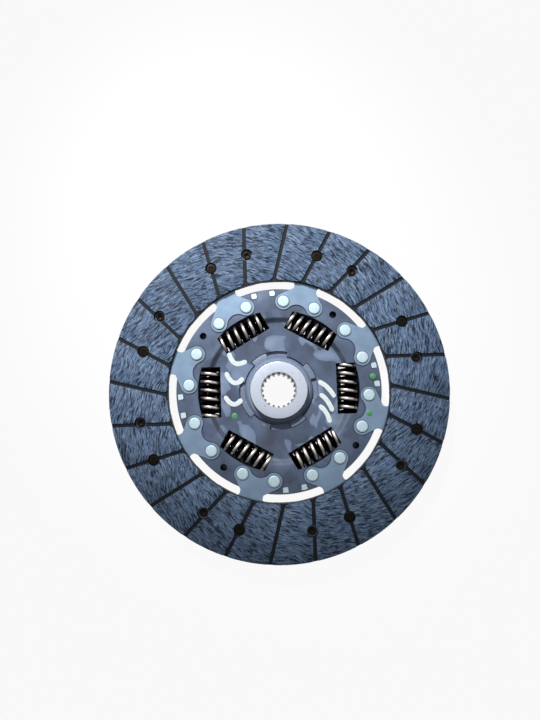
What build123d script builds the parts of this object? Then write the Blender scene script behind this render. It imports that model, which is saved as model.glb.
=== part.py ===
"""Clutch disc with grooved friction rings, cushion segments, a six-spring damper and a splined hub.

Millimetres. The origin is on the axis of the hub, halfway between the two friction faces.
+Z points to the flywheel side. The disc lies on the gearbox end of its hub.
"""

import os
from math import asin, atan2, cos, degrees, hypot, pi, radians, sin, sqrt

from build123d import *

os.makedirs("parts", exist_ok=True)

# ---------------------------------------------------------------- friction rings
lining_od = 240.0
lining_slot = 5.8  # open ring between the guide plates and the linings
lining_thickness = 3.5
pad_count = 24
groove_width = 1.9
groove_depth = 1.0
groove_offset = 21.2  # how far each groove's middle line passes from the axis
pad_inner_corner = 2.0
lining_rivet_shift = 0.6  # the rivets' circle lies this far outside the middle of the ring
lining_rivet_spread = 15.8  # degrees between the two rivets of one segment
lining_pocket_gap = 0.35  # round a rivet's head

# ---------------------------------------------------------------- cushion segments
segment_count = 8
segment_thickness = 0.8
paddle_angle = 21.3  # direction of the first paddle's middle, degrees from +X
paddle_gap = 1.8  # between neighbouring paddles
paddle_edge_inset = 2.0  # paddle's edges stand this far inside the friction ring
neck_shift = 9.0  # degrees from the paddle's middle to the neck's
neck_width = 16.6
neck_start = 1.0  # outside the guide plate's edge
neck_fillet = 2.4
foot_shift = 10.5  # degrees from the paddle's middle to the foot's
foot_rivet_inset = 9.1  # from the guide plate's edge
foot_rivet_spread = 20.5  # degrees between the foot's two rivets
foot_lobe_r = 5.85
foot_scallop_r = 8.1

# ---------------------------------------------------------------- rivets
foot_shank_d = 5.2
foot_head_d = 8.3
foot_head_height = 1.1
foot_tail_height = 1.3
lining_shank_d = 4.4
lining_head_d = 6.9
lining_head_height = 0.8
lining_head_seat = 1.3  # lining left under a rivet head
lining_tail_height = 0.8
shank_gap = 0.05  # between a shank and its hole
head_sides = 10  # small rounds are drawn with flat sides, to keep the model light
pocket_sides = 8
shank_sides = 6
lobe_sides = 8
scallop_sides = 16
ring_sides = 30  # and so are the bushes and washers

# ---------------------------------------------------------------- guide plates
plate_edge_margin = 1.65  # between the stop spacers and the plates' edge
plate_thickness = 2.5
plate_dish = 1.8  # how far the middle is set in from the rim
dish_start = 0.3  # the slope to the rim starts this far inside the springs' circle
dish_slope_width = 2.8
opening_gap = 0.7  # round the bush's collar
notch_span = 58.0  # degrees
pilot_hole_d = 5.0
pilot_hole_inset = 6.3  # from the plate's edge
pilot_hole_angle = 54.5

# ---------------------------------------------------------------- damper springs
spring_count = 6
spring_angle = 1.9  # direction of the first spring, degrees from +X
spring_circle_r = 49.5
spring_od = 16.0
spring_wire = 3.9
spring_pitch = 6.0
spring_length = 36.0
spring_end_gap = 0.05
spring_side_gap = 0.1  # in the plates' windows
spring_flange_gap = 0.4  # in the flange's windows
wire_sides = 4  # the wire is drawn four-sided, and each turn as eight straight runs
turn_runs = 8

# ---------------------------------------------------------------- hub
hub_front_stand = 7.2  # hub's face above the front plate's middle
hub_rear_stand = 4.8  # hub's end behind the rear plate's middle
front_journal_r = 20.4
rear_journal_r = 18.5
hub_chamfer = 0.5
bore_lead = 0.2  # the flared mouths are this much larger than the spline roots
flange_thickness = 5.0
flange_web = 6.2  # between the springs' openings and the stop notches
flange_lobe_reach = 1.5  # past the middle of the stop spacers
spline_teeth = 20
spline_major_r = 12.5
spline_depth = 1.3
tooth_root_width = 2.3
tooth_tip_width = 1.2
twist_limit = 8.0  # degrees each way
twist_gap = 0.4  # degrees left between a lobe and a stop at that limit

# ---------------------------------------------------------------- stop spacers
spacer_count = 4
spacer_angle = 9.4  # direction of the first spacer, degrees from +X
spacer_length = 17.0
spacer_thickness = 3.7
tenon_inset = 0.1  # from the spacer's ends
tenon_gap = 0.3
tenon_stand = 0.3  # tenon's end above the plate
spacer_flange_gap = 0.8

# ---------------------------------------------------------------- bushes and washers
journal_gap = 0.08
friction_space = 2.0  # between the flange and each guide plate
washer_thickness = 1.0
washer_window_gap = 6.4  # between the washers and the springs' windows
washer_hub_gap = 0.6
front_flange_inset = 2.0  # from the washer's edge
collar_stand = 2.0  # collar's top above the plate's dished middle
collar_land = 1.8  # width of the collar's flat top
collar_flank = 1.9  # width of the slope round it
lug_count = 4
lug_angle = 31.5
lug_span = 25.0
lug_reach = 3.7  # past the foot of the collar
lug_gap = 0.4
disc_spring_width = 9.52
disc_spring_bush_gap = 1.9
rear_bush_wall = 3.9
rear_bush_gap = 0.1
rear_lip_reach = 2.4  # past the rear plate's opening
rear_lip_height = 1.2

# ---------------------------------------------------------------- levels along the axis
segment_top = segment_thickness / 2
segment_bottom = -segment_thickness / 2
rim_front = segment_bottom
rim_back = rim_front - plate_thickness
dish_front = rim_front - plate_dish
dish_back = rim_back - plate_dish
flange_front = dish_back - friction_space
flange_back = flange_front - flange_thickness
spring_z = (flange_front + flange_back) / 2
rear_dish_front = flange_back - friction_space
rear_dish_back = rear_dish_front - plate_thickness
rear_rim_front = rear_dish_front - plate_dish
rear_rim_back = rear_rim_front - plate_thickness
hub_front_z = dish_front + hub_front_stand
hub_back_z = rear_dish_back - hub_rear_stand
hub_length = hub_front_z - hub_back_z

# ---------------------------------------------------------------- radii, from the axis outwards
spline_minor_r = spline_major_r - spline_depth
bore_lead_r = spline_major_r + bore_lead
front_bush_bore = front_journal_r + journal_gap
collar_top_r = front_bush_bore + collar_land
collar_base_r = collar_top_r + collar_flank
front_opening_r = collar_base_r + opening_gap
lug_r = collar_base_r + lug_reach
notch_r = lug_r + lug_gap
rear_bush_bore = rear_journal_r + journal_gap
rear_opening_r = rear_bush_bore + rear_bush_wall + rear_bush_gap
window_side = spring_od / 2 + spring_side_gap
window_length = spring_length + 2 * spring_end_gap
washer_r = spring_circle_r - window_side - washer_window_gap
dish_inner_r = spring_circle_r - dish_start
dish_outer_r = dish_inner_r + dish_slope_width
flange_window_side = spring_od / 2 + spring_flange_gap
notch_floor_r = hypot(spring_circle_r + flange_window_side, window_length / 2) + flange_web
spacer_inner_r = notch_floor_r + spacer_flange_gap
spacer_circle_r = spacer_inner_r + spacer_thickness / 2
tenon_spread = spacer_length - spacer_thickness - 2 * tenon_inset
flange_lobe_r = spacer_circle_r + flange_lobe_reach
plate_r = spacer_circle_r + spacer_thickness / 2 + plate_edge_margin
foot_rivet_r = plate_r - foot_rivet_inset
lining_outer_r = lining_od / 2
lining_inner_r = plate_r + lining_slot
rivet_r = (lining_inner_r + lining_outer_r) / 2 + lining_rivet_shift
lining_pocket_r = lining_head_d / 2 + lining_pocket_gap

# ---------------------------------------------------------------- places round the axis
segment_pitch = 360 / segment_count
segment_angles = [paddle_angle + segment_pitch * i for i in range(segment_count)]
head_angle = paddle_angle + lining_rivet_spread / 2  # rivets with their heads to the front
tail_angle = paddle_angle - lining_rivet_spread / 2  # rivets with their tails to the front
# a groove's middle line crosses each front rivet head
groove_direction = head_angle - degrees(asin(groove_offset / rivet_r))


def polar(radius, angle):
    """The flat point at a radius and an angle in degrees."""
    return (radius * cos(radians(angle)), radius * sin(radians(angle)))


def write(piece, name):
    """Label a finished piece and write its STEP file."""
    piece.label = name
    export_step(piece, f"parts/{name}.step")


# ---------------------------------------------------------------- friction rings
def friction_ring():
    """One lining lying on Z = 0 with its grooved face up.

    Its own rivets sit in shallow pockets. The tails of the other ring's rivets are reached
    through plain holes.
    """
    base_thickness = lining_thickness - groove_depth
    own_rivets = PolarLocations(rivet_r, segment_count, head_angle)
    other_rivets = PolarLocations(rivet_r, segment_count, tail_angle)
    with BuildPart() as ring:
        with BuildSketch():
            Circle(lining_outer_r)
            Circle(lining_inner_r, mode=Mode.SUBTRACT)
        extrude(amount=base_thickness)
        with BuildSketch(Plane.XY.offset(base_thickness)) as pads:
            Circle(lining_outer_r)
            Circle(lining_inner_r, mode=Mode.SUBTRACT)
            with PolarLocations(0, pad_count, groove_direction):
                with Locations((lining_outer_r, groove_offset)):
                    Rectangle(lining_od, groove_width, mode=Mode.SUBTRACT)
            by_radius = pads.vertices().sort_by(lambda v: hypot(v.X, v.Y))
            chamfer(by_radius[: 2 * pad_count], pad_inner_corner)
        extrude(amount=groove_depth)
        with BuildSketch():
            with other_rivets:
                RegularPolygon(lining_pocket_r, pocket_sides)
            with own_rivets:
                RegularPolygon(lining_shank_d / 2 + shank_gap, shank_sides)
        extrude(amount=lining_thickness, mode=Mode.SUBTRACT)
        with BuildSketch(Plane.XY.offset(lining_head_seat)):
            with own_rivets:
                RegularPolygon(lining_pocket_r, pocket_sides)
        extrude(amount=lining_thickness, mode=Mode.SUBTRACT)
    return ring.part


def lining_rivets():
    """The eight rivets of one ring, heads up, for a ring that lies on Z = 0."""
    own_rivets = PolarLocations(rivet_r, segment_count, head_angle)
    with BuildPart() as rivets:
        with BuildSketch(Plane.XY.offset(lining_head_seat)):
            with own_rivets:
                RegularPolygon(lining_head_d / 2, pocket_sides)
        extrude(amount=lining_head_height)
        with BuildSketch(Plane.XY.offset(-segment_thickness - lining_tail_height)):
            with own_rivets:
                RegularPolygon(lining_shank_d / 2, shank_sides)
        extrude(amount=segment_thickness + lining_tail_height + lining_head_seat)
    return rivets.part


# the two rings are alike: the rear one is turned over about the first paddle's middle line,
# which brings its pockets over the front ring's plain holes
front_place = Location((0, 0, segment_top))
rear_place = Location((0, 0, segment_bottom), (0, 0, 2 * paddle_angle)) * Location(
    (0, 0, 0), (180, 0, 0)
)
ring = friction_ring()
ring_rivets = lining_rivets()
write(ring.moved(front_place), "front_lining")
write(ring.moved(rear_place), "rear_lining")
write(ring_rivets.moved(front_place), "lining_rivets_front")
write(ring_rivets.moved(rear_place), "lining_rivets_rear")


# ---------------------------------------------------------------- cushion segments
def cushion_segment():
    """One spring-steel segment: a paddle between the linings, a neck and a two-rivet foot.

    The middle of its paddle points along X.
    """
    paddle_outer_r = lining_outer_r - paddle_edge_inset
    neck_start_r = plate_r + neck_start
    paddle_reach = segment_pitch / 2 - degrees(paddle_gap / 2 / rivet_r)
    rivet_place = foot_rivet_r * cos(radians(foot_rivet_spread / 2))
    rivet_side = foot_rivet_r * sin(radians(foot_rivet_spread / 2))
    # the scallop is a circle that touches both lobes and comes up near the line between the rivets
    lobe_to_scallop = foot_lobe_r + foot_scallop_r
    scallop_place = rivet_place - sqrt(lobe_to_scallop**2 - rivet_side**2)
    touch_place = rivet_place + (scallop_place - rivet_place) * foot_lobe_r / lobe_to_scallop
    foot_rivets = PolarLocations(
        foot_rivet_r, 2, foot_shift - foot_rivet_spread / 2, foot_rivet_spread, endpoint=True
    )
    paddle_rivets = PolarLocations(
        rivet_r, 2, -lining_rivet_spread / 2, lining_rivet_spread, endpoint=True
    )
    neck = Location((*polar(neck_start_r, neck_shift), 0), (0, 0, neck_shift))
    with BuildPart() as segment:
        with BuildSketch(Plane.XY.offset(segment_bottom)) as outline:
            with foot_rivets:
                RegularPolygon(foot_lobe_r, lobe_sides)
            with Locations(neck):
                Rectangle(1, neck_width, align=(Align.MAX, Align.CENTER))
            make_hull()
            with Locations(Location((0, 0, 0), (0, 0, foot_shift))):
                with Locations((scallop_place, 0)):
                    RegularPolygon(foot_scallop_r, scallop_sides, mode=Mode.SUBTRACT)
                with Locations((touch_place, 0)):
                    Rectangle(
                        2 * foot_lobe_r, 2 * rivet_side,
                        align=(Align.MAX, Align.CENTER), mode=Mode.SUBTRACT,
                    )
            with foot_rivets:
                RegularPolygon(foot_lobe_r, lobe_sides)
            with Locations(neck):
                neck_length = lining_inner_r - neck_start_r + paddle_edge_inset
                Rectangle(neck_length, neck_width, align=(Align.MIN, Align.CENTER))
            with BuildLine():
                inner_edge, outer_edge = (
                    Polyline([polar(radius, paddle_reach * part / 3) for part in (-3, -1, 1, 3)])
                    for radius in (lining_inner_r, paddle_outer_r)
                )
                Line(inner_edge @ 0, outer_edge @ 0)
                Line(inner_edge @ 1, outer_edge @ 1)
            make_face()
            neck_root = Vector(*polar(lining_inner_r, neck_shift))
            fillet(outline.vertices().sort_by_distance(neck_root)[:2], neck_fillet)
            with foot_rivets:
                RegularPolygon(foot_shank_d / 2 + shank_gap, shank_sides, mode=Mode.SUBTRACT)
            with paddle_rivets:
                RegularPolygon(lining_shank_d / 2 + shank_gap, shank_sides, mode=Mode.SUBTRACT)
        extrude(amount=segment_thickness)
    return segment.part


segment = cushion_segment()
for i, angle in enumerate(segment_angles):
    write(segment.moved(Location((0, 0, 0), (0, 0, angle))), f"cushion_segment_{i + 1}")


# ---------------------------------------------------------------- guide plates and foot rivets
def dished_disc(opening_r, rim_front, middle_front):
    """A pressed plate of even thickness with its middle at another level than its rim."""
    with BuildPart() as disc:
        with BuildSketch(Plane.XZ):
            with BuildLine():
                Polyline(
                    (opening_r, middle_front),
                    (dish_inner_r, middle_front),
                    (dish_outer_r, rim_front),
                    (plate_r, rim_front),
                    (plate_r, rim_front - plate_thickness),
                    (dish_outer_r, rim_front - plate_thickness),
                    (dish_inner_r, middle_front - plate_thickness),
                    (opening_r, middle_front - plate_thickness),
                    close=True,
                )
            make_face()
        revolve(axis=Axis.Z)
    return disc.part


def spring_windows():
    """Window outlines: a straight inner edge, square ends and an outer edge round the axis."""
    with BuildSketch() as windows:
        with PolarLocations(spring_circle_r - window_side, spring_count, spring_angle):
            Rectangle(2 * window_side, window_length, align=(Align.MIN, Align.CENTER))
        Circle(spring_circle_r + window_side, mode=Mode.INTERSECT)
    return windows.sketch


def tenon_outlines(width):
    """Squares at the two tenons of every stop spacer."""
    with BuildSketch() as tenons:
        with PolarLocations(spacer_circle_r, spacer_count, spacer_angle):
            with GridLocations(0, tenon_spread, 1, 2):
                Rectangle(width, width)
    return tenons.sketch


def opening_notches():
    """The front plate's opening, widened clockwise from each lug of the bush."""
    with BuildSketch() as opening:
        for i in range(lug_count):
            notch_end = lug_angle + lug_span / 2 + lug_gap + 360 / lug_count * i
            with BuildLine():
                arc = CenterArc((0, 0), notch_r, notch_end - notch_span, notch_span)
                Line((0, 0), arc @ 0)
                Line((0, 0), arc @ 1)
            make_face()
        Circle(front_opening_r)
    return opening.sketch


def foot_rivet_places(angle):
    """The two foot rivets of the segment whose paddle points at the angle."""
    first = angle + foot_shift - foot_rivet_spread / 2
    return PolarLocations(foot_rivet_r, 2, first, foot_rivet_spread, endpoint=True)


with BuildPart() as front_guide_plate:
    add(dished_disc(front_opening_r, rim_front, dish_front))
    with BuildSketch(Plane.XY.offset(dish_back)):
        add(spring_windows())
        add(opening_notches())
        add(tenon_outlines(spacer_thickness + 2 * tenon_gap))
        with PolarLocations(plate_r - pilot_hole_inset, spacer_count, pilot_hole_angle):
            RegularPolygon(pilot_hole_d / 2, head_sides)
        for angle in segment_angles:
            with foot_rivet_places(angle):
                RegularPolygon(foot_shank_d / 2 + shank_gap, shank_sides)
    extrude(amount=plate_dish + plate_thickness, mode=Mode.SUBTRACT)
write(front_guide_plate.part, "front_guide_plate")

with BuildPart() as rear_guide_plate:
    add(dished_disc(rear_opening_r, rear_rim_front, rear_dish_front))
    with BuildSketch(Plane.XY.offset(rear_rim_back)):
        add(tenon_outlines(spacer_thickness + 2 * tenon_gap))
    extrude(amount=plate_dish + plate_thickness, mode=Mode.SUBTRACT)
    # the rear windows are narrower and wrap round the springs, so that these can't fall out
    for i in range(spring_count):
        around = Location((0, 0, 0), (0, 0, spring_angle + 360 / spring_count * i))
        with Locations(around * Location((spring_circle_r, 0, spring_z), (90, 0, 0))):
            Cylinder(window_side, window_length, mode=Mode.SUBTRACT)
write(rear_guide_plate.part, "rear_guide_plate")

with BuildPart() as foot_rivets:
    for angle in segment_angles:
        with BuildSketch(Plane.XY.offset(segment_top)):
            with foot_rivet_places(angle):
                RegularPolygon(foot_head_d / 2, head_sides)
        extrude(amount=foot_head_height)
        with BuildSketch(Plane.XY.offset(rim_back - foot_tail_height)):
            with foot_rivet_places(angle):
                RegularPolygon(foot_shank_d / 2, shank_sides)
        extrude(amount=foot_tail_height + plate_thickness + segment_thickness)
write(foot_rivets.part, "foot_rivets")


# ---------------------------------------------------------------- stop spacers
def stop_spacer(angle):
    """A flat plate on edge between the guide plates, with two tenons through each of them."""
    with BuildPart() as spacer:
        with BuildSketch(Plane.XY.offset(rear_rim_front)):
            with PolarLocations(spacer_circle_r, 1, angle):
                Rectangle(spacer_thickness, spacer_length)
        extrude(amount=rim_back - rear_rim_front)
        with BuildSketch(Plane.XY.offset(rear_rim_back - tenon_stand)):
            with PolarLocations(spacer_circle_r, 1, angle):
                with GridLocations(0, tenon_spread, 1, 2):
                    Rectangle(spacer_thickness, spacer_thickness)
        extrude(amount=rim_front - rear_rim_back + 2 * tenon_stand)
    return spacer.part


for i in range(spacer_count):
    write(stop_spacer(spacer_angle + 360 / spacer_count * i), f"stop_spacer_{i + 1}")

# ---------------------------------------------------------------- hub
with BuildPart() as hub:
    with BuildSketch(Plane.XZ):
        with BuildLine():
            Polyline(
                (0, hub_front_z),
                (front_journal_r - hub_chamfer, hub_front_z),
                (front_journal_r, hub_front_z - hub_chamfer),
                (front_journal_r, flange_front),
                (flange_lobe_r, flange_front),
                (flange_lobe_r, flange_back),
                (rear_journal_r, flange_back),
                (rear_journal_r, hub_back_z + hub_chamfer),
                (rear_journal_r - hub_chamfer, hub_back_z),
                (0, hub_back_z),
                close=True,
            )
        make_face()
    revolve(axis=Axis.Z)
    # openings for the springs, which the ends of each spring bear on
    with BuildSketch(Plane.XY.offset(flange_back)):
        with PolarLocations(spring_circle_r, spring_count, spring_angle):
            Rectangle(2 * flange_window_side, window_length)
        # notches that let the stop spacers swing from lobe to lobe
        spacer_reach = degrees(asin(spacer_length / 2 / spacer_inner_r))
        notch_reach = spacer_reach + twist_limit + twist_gap
        for i in range(spacer_count):
            notch_start = spacer_angle + 360 / spacer_count * i - notch_reach
            with BuildLine():
                floor = CenterArc((0, 0), notch_floor_r, notch_start, 2 * notch_reach)
                mouth = CenterArc((0, 0), flange_lobe_r + 1, notch_start, 2 * notch_reach)
                Line(floor @ 0, mouth @ 0)
                Line(floor @ 1, mouth @ 1)
            make_face()
    extrude(amount=flange_thickness, mode=Mode.SUBTRACT)
    # splined bore: flat roots, less one tapered tooth at each pitch
    with BuildSketch(Plane.XY.offset(hub_back_z)):
        RegularPolygon(spline_major_r, spline_teeth, major_radius=False, rotation=90)
        with PolarLocations(0, spline_teeth, 90):
            with BuildLine():
                Polyline(
                    (spline_minor_r, -tooth_tip_width / 2),
                    (spline_major_r + 1, -tooth_root_width / 2),
                    (spline_major_r + 1, tooth_root_width / 2),
                    (spline_minor_r, tooth_tip_width / 2),
                    close=True,
                )
            make_face(mode=Mode.SUBTRACT)
    extrude(amount=hub_length, mode=Mode.SUBTRACT)
    # a flared mouth leads into the splines at both ends
    for mouth in (Plane.XY.offset(hub_front_z), Plane.XY.offset(hub_back_z)):
        inward = -1 if mouth.origin.Z > 0 else 1
        with BuildSketch(mouth):
            RegularPolygon(bore_lead_r, spline_teeth, major_radius=False, rotation=90)
        extrude(amount=inward * (bore_lead_r - spline_minor_r), taper=45, mode=Mode.SUBTRACT)
write(hub.part, "hub")


# ---------------------------------------------------------------- damper springs
def damper_spring():
    """A left-hand coil about a line along Y, both ends ground flat."""
    coil_r = spring_od / 2 - spring_wire / 2 / cos(pi / turn_runs)
    runs = round(turn_runs * (spring_length / spring_pitch + 1))
    climb = spring_pitch / turn_runs
    with BuildPart() as spring:
        with BuildLine() as coil:
            Polyline(
                [
                    (
                        spring_circle_r + coil_r * cos(2 * pi * run / turn_runs),
                        climb * (runs / 2 - run),
                        spring_z - coil_r * sin(2 * pi * run / turn_runs),
                    )
                    for run in range(runs + 1)
                ]
            )
        with BuildSketch(Plane(origin=coil.line @ 0, z_dir=coil.line % 0)):
            RegularPolygon(spring_wire / 2, wire_sides)
        sweep(transition=Transition.RIGHT)
        with Locations((spring_circle_r, 0, spring_z)):
            Box(2 * spring_od, spring_length, 2 * spring_od, mode=Mode.INTERSECT)
    return spring.part


spring = damper_spring()
for i in range(spring_count):
    place = Location((0, 0, 0), (0, 0, spring_angle + 360 / spring_count * i))
    write(spring.moved(place), f"damper_spring_{i + 1}")

# ---------------------------------------------------------------- bushes and washers
def ring_outline(outer_r, bore_r):
    """A many-sided ring whose flats stand at the given radii."""
    with BuildSketch() as outline:
        RegularPolygon(outer_r, ring_sides, major_radius=False)
        RegularPolygon(bore_r, ring_sides, major_radius=False, mode=Mode.SUBTRACT)
    return outline.sketch


with BuildPart() as front_bush:
    with BuildSketch(Plane.XY.offset(flange_front + washer_thickness)):
        add(ring_outline(washer_r - front_flange_inset, front_bush_bore))
    extrude(amount=friction_space - washer_thickness)
    with BuildSketch(Plane.XY.offset(dish_back)):
        RegularPolygon(collar_base_r, ring_sides, major_radius=False)
        for i in range(lug_count):
            lug_start = lug_angle - lug_span / 2 + 360 / lug_count * i
            with BuildLine():
                outer = CenterArc((0, 0), lug_r, lug_start, lug_span)
                Line((0, 0), outer @ 0)
                Line((0, 0), outer @ 1)
            make_face()
    extrude(amount=plate_thickness)
    # the collar narrows above the plate
    with BuildSketch(Plane.XY.offset(dish_front)):
        RegularPolygon(collar_base_r, ring_sides, major_radius=False)
    extrude(amount=collar_stand, taper=degrees(atan2(collar_flank, collar_stand)))
    with BuildSketch(Plane.XY.offset(dish_back)):
        RegularPolygon(front_bush_bore, ring_sides, major_radius=False)
    extrude(amount=plate_thickness + collar_stand, mode=Mode.SUBTRACT)
write(front_bush.part, "front_bush")

with BuildPart() as front_friction_washer:
    with BuildSketch(Plane.XY.offset(flange_front)):
        add(ring_outline(washer_r, front_journal_r + washer_hub_gap))
    extrude(amount=washer_thickness)
write(front_friction_washer.part, "front_friction_washer")

rear_washer_back = flange_back - washer_thickness
with BuildPart() as rear_friction_washer:
    with BuildSketch(Plane.XY.offset(rear_washer_back)):
        add(ring_outline(washer_r, rear_journal_r + washer_hub_gap))
    extrude(amount=washer_thickness)
write(rear_friction_washer.part, "rear_friction_washer")

# a disc spring, pressed flat between the washer and the rear plate
with BuildPart() as disc_spring:
    disc_spring_bore = rear_opening_r + disc_spring_bush_gap
    with BuildSketch(Plane.XY.offset(rear_dish_front)):
        add(ring_outline(disc_spring_bore + disc_spring_width, disc_spring_bore))
    extrude(amount=rear_washer_back - rear_dish_front)
write(disc_spring.part, "disc_spring")

with BuildPart() as rear_bush:
    with BuildSketch(Plane.XY.offset(rear_dish_back - rear_lip_height)):
        add(ring_outline(rear_opening_r + rear_lip_reach, rear_bush_bore))
    extrude(amount=rear_lip_height)
    with BuildSketch(Plane.XY.offset(rear_dish_back)):
        add(ring_outline(rear_opening_r - rear_bush_gap, rear_bush_bore))
    extrude(amount=rear_washer_back - rear_dish_back)
write(rear_bush.part, "rear_bush")
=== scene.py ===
"""Clutch disc: detailed pieces, finishes and stage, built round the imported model.

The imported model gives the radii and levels. Lengths are in metres and angles in radians;
mm() and radians() turn the values that are written here.
"""

from functools import partial
from math import asin, atan2, cos, hypot, pi, radians, sin

import bmesh
import bpy
from bpy.props import FloatProperty, FloatVectorProperty, IntProperty, PointerProperty
from mathutils import Matrix, Vector
from mathutils.geometry import interpolate_bezier


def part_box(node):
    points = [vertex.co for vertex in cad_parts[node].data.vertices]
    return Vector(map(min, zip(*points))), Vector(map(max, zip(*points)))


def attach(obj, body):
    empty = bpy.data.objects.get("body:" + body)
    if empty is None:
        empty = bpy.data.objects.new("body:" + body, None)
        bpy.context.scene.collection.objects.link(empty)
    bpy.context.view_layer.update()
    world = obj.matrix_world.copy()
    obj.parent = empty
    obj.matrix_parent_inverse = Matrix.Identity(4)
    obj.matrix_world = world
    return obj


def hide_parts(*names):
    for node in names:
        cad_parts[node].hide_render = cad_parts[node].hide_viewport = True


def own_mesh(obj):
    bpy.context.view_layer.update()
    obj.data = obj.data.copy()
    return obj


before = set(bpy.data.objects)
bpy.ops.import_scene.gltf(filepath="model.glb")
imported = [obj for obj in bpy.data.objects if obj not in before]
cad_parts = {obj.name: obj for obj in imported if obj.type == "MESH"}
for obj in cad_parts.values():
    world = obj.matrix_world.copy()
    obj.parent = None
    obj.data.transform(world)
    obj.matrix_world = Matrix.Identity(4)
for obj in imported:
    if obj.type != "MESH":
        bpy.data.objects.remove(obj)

bl_info = {
    "name": "Clutch disc",
    "version": (1, 0, 0),
    "blender": (4, 5, 0),
    "location": "View3D > Sidebar > Clutch disc",
    "description": "Builds the looks of a clutch disc round its packed model",
    "category": "Object",
}

FRAME_PIXELS = (540, 720)
DISC, HUB, SPRINGS = "disc", "hub", "damper_springs"
BLACK, GREY, WHITE = (0, 0, 0, 1), (0.5, 0.5, 0.5, 1), (1, 1, 1, 1)
FULL_TURN = 2 * pi
ABOUT_Z = {"cent": (0, 0, 0), "axis": (0, 0, 1)}
TURNED_STEPS = 180
RING_STEP = radians(1.25)
HOLE_SIDES = 40
SMOOTH_BELOW = radians(32)
OVERSHOOT = 0.001  # how far a cutting tool reaches past the face that it cuts
OVERLAP = 0.0005  # how far shapes that get joined run into each other
SAME_PLACE = 1e-7  # points nearer than this are one point
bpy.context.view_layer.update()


# ---------------------------------------------------------------- units and colours
def mm(value):
    return value / 1000


def linear(colour):
    """An sRGB hex colour as linear red, green, blue and alpha."""
    values = [int(colour[i : i + 2], 16) / 255 for i in (1, 3, 5)]
    return [v / 12.92 if v <= 0.04045 else ((v + 0.055) / 1.055) ** 2.4 for v in values] + [1.0]


def scaled(shade, by):
    """A darker or lighter colour."""
    return [min(1.0, v * by) for v in shade[:3]] + [1.0]


def length(name, description, value):
    """A length property whose default is given in millimetres."""
    return FloatProperty(
        name=name, description=description, default=mm(value), min=0, precision=5, unit="LENGTH"
    )


def angle(name, description, value):
    """An angle property whose default is given in degrees."""
    return FloatProperty(name=name, description=description, default=radians(value), subtype="ANGLE")


def amount(name, description, value, **options):
    return FloatProperty(name=name, description=description, default=value, **options)


def position(name, description, value):
    return FloatVectorProperty(
        name=name, description=description, default=value, subtype="TRANSLATION", unit="LENGTH"
    )


def how_many(name, description, value):
    return IntProperty(name=name, description=description, default=value, min=1)


def colour(name, description, value):
    """A colour property whose default is given as sRGB hex."""
    return FloatVectorProperty(
        name=name, description=description, default=linear(value), size=4, min=0, max=1,
        subtype="COLOR",
    )


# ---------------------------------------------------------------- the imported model's sizes
def radii(node):
    """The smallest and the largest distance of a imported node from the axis."""
    reach = [hypot(v.co.x, v.co.y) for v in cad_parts[node].data.vertices]
    return min(reach), max(reach)


def levels(node):
    """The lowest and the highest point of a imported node."""
    low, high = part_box(node)
    return low.z, high.z


# ---------------------------------------------------------------- settings
class LayoutSizes(bpy.types.PropertyGroup):
    """Directions and circles that several pieces share."""

    segments: how_many("Segments", "Cushion segments round the disc", 8)
    paddle_angle: angle("Paddle", "Direction of the first segment's paddle", 21.3)
    rivet_spread: angle("Rivet spread", "Between the two lining rivets of a segment", 15.8)
    rivet_circle_r: length("Rivet circle", "Radius of the lining rivets' circle", 100.0)
    foot_shift: angle("Foot shift", "From the paddle's middle to the foot's", 10.5)
    foot_spread: angle("Foot spread", "Between the two rivets of a foot", 20.5)
    foot_circle_r: length("Foot circle", "Radius of the foot rivets' circle", 63.9)
    springs: how_many("Springs", "Damper springs", 6)
    spring_angle: angle("Spring", "Direction of the first spring", 1.9)
    spring_circle_r: length("Spring circle", "Radius of the springs' circle", 49.5)
    spacers: how_many("Spacers", "Stop spacers", 4)
    spacer_angle: angle("Spacer", "Direction of the first stop spacer", 9.4)


class LiningSizes(bpy.types.PropertyGroup):
    """The friction rings and their rivets."""

    pads: how_many("Pads", "Pads on a ring", 24)
    groove_width: length("Groove width", "Width of the grooves between pads", 2.5)
    groove_depth: length("Groove depth", "Depth of the grooves", 1.0)
    groove_offset: length("Groove offset", "How far each groove passes from the axis", 21.2)
    inner_corner: length("Inner corners", "Rounding of the pads' inner corners", 2.8)
    outer_corner: length("Outer corners", "Rounding of the pads' outer corners", 1.3)
    broken_edge: length("Pad edge", "Rounding round the top of each pad", 0.25)
    pocket_r: length("Pocket radius", "Radius of the rivet pockets", 4.15)
    head_seat: length("Head seat", "Lining left under a rivet's head", 1.3)
    head_r: length("Head radius", "Radius of a lining rivet's head", 3.45)
    head_height: length("Head height", "Height of a lining rivet's head", 0.8)
    shank_r: length("Shank radius", "Radius of a lining rivet's shank", 2.2)
    bore_r: length("Bore radius", "Radius of the rivet's hollow end", 1.35)
    tail_r: length("Tail radius", "Radius of the rolled end", 3.0)
    tail_height: length("Tail height", "Height of the rolled end", 0.8)


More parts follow.
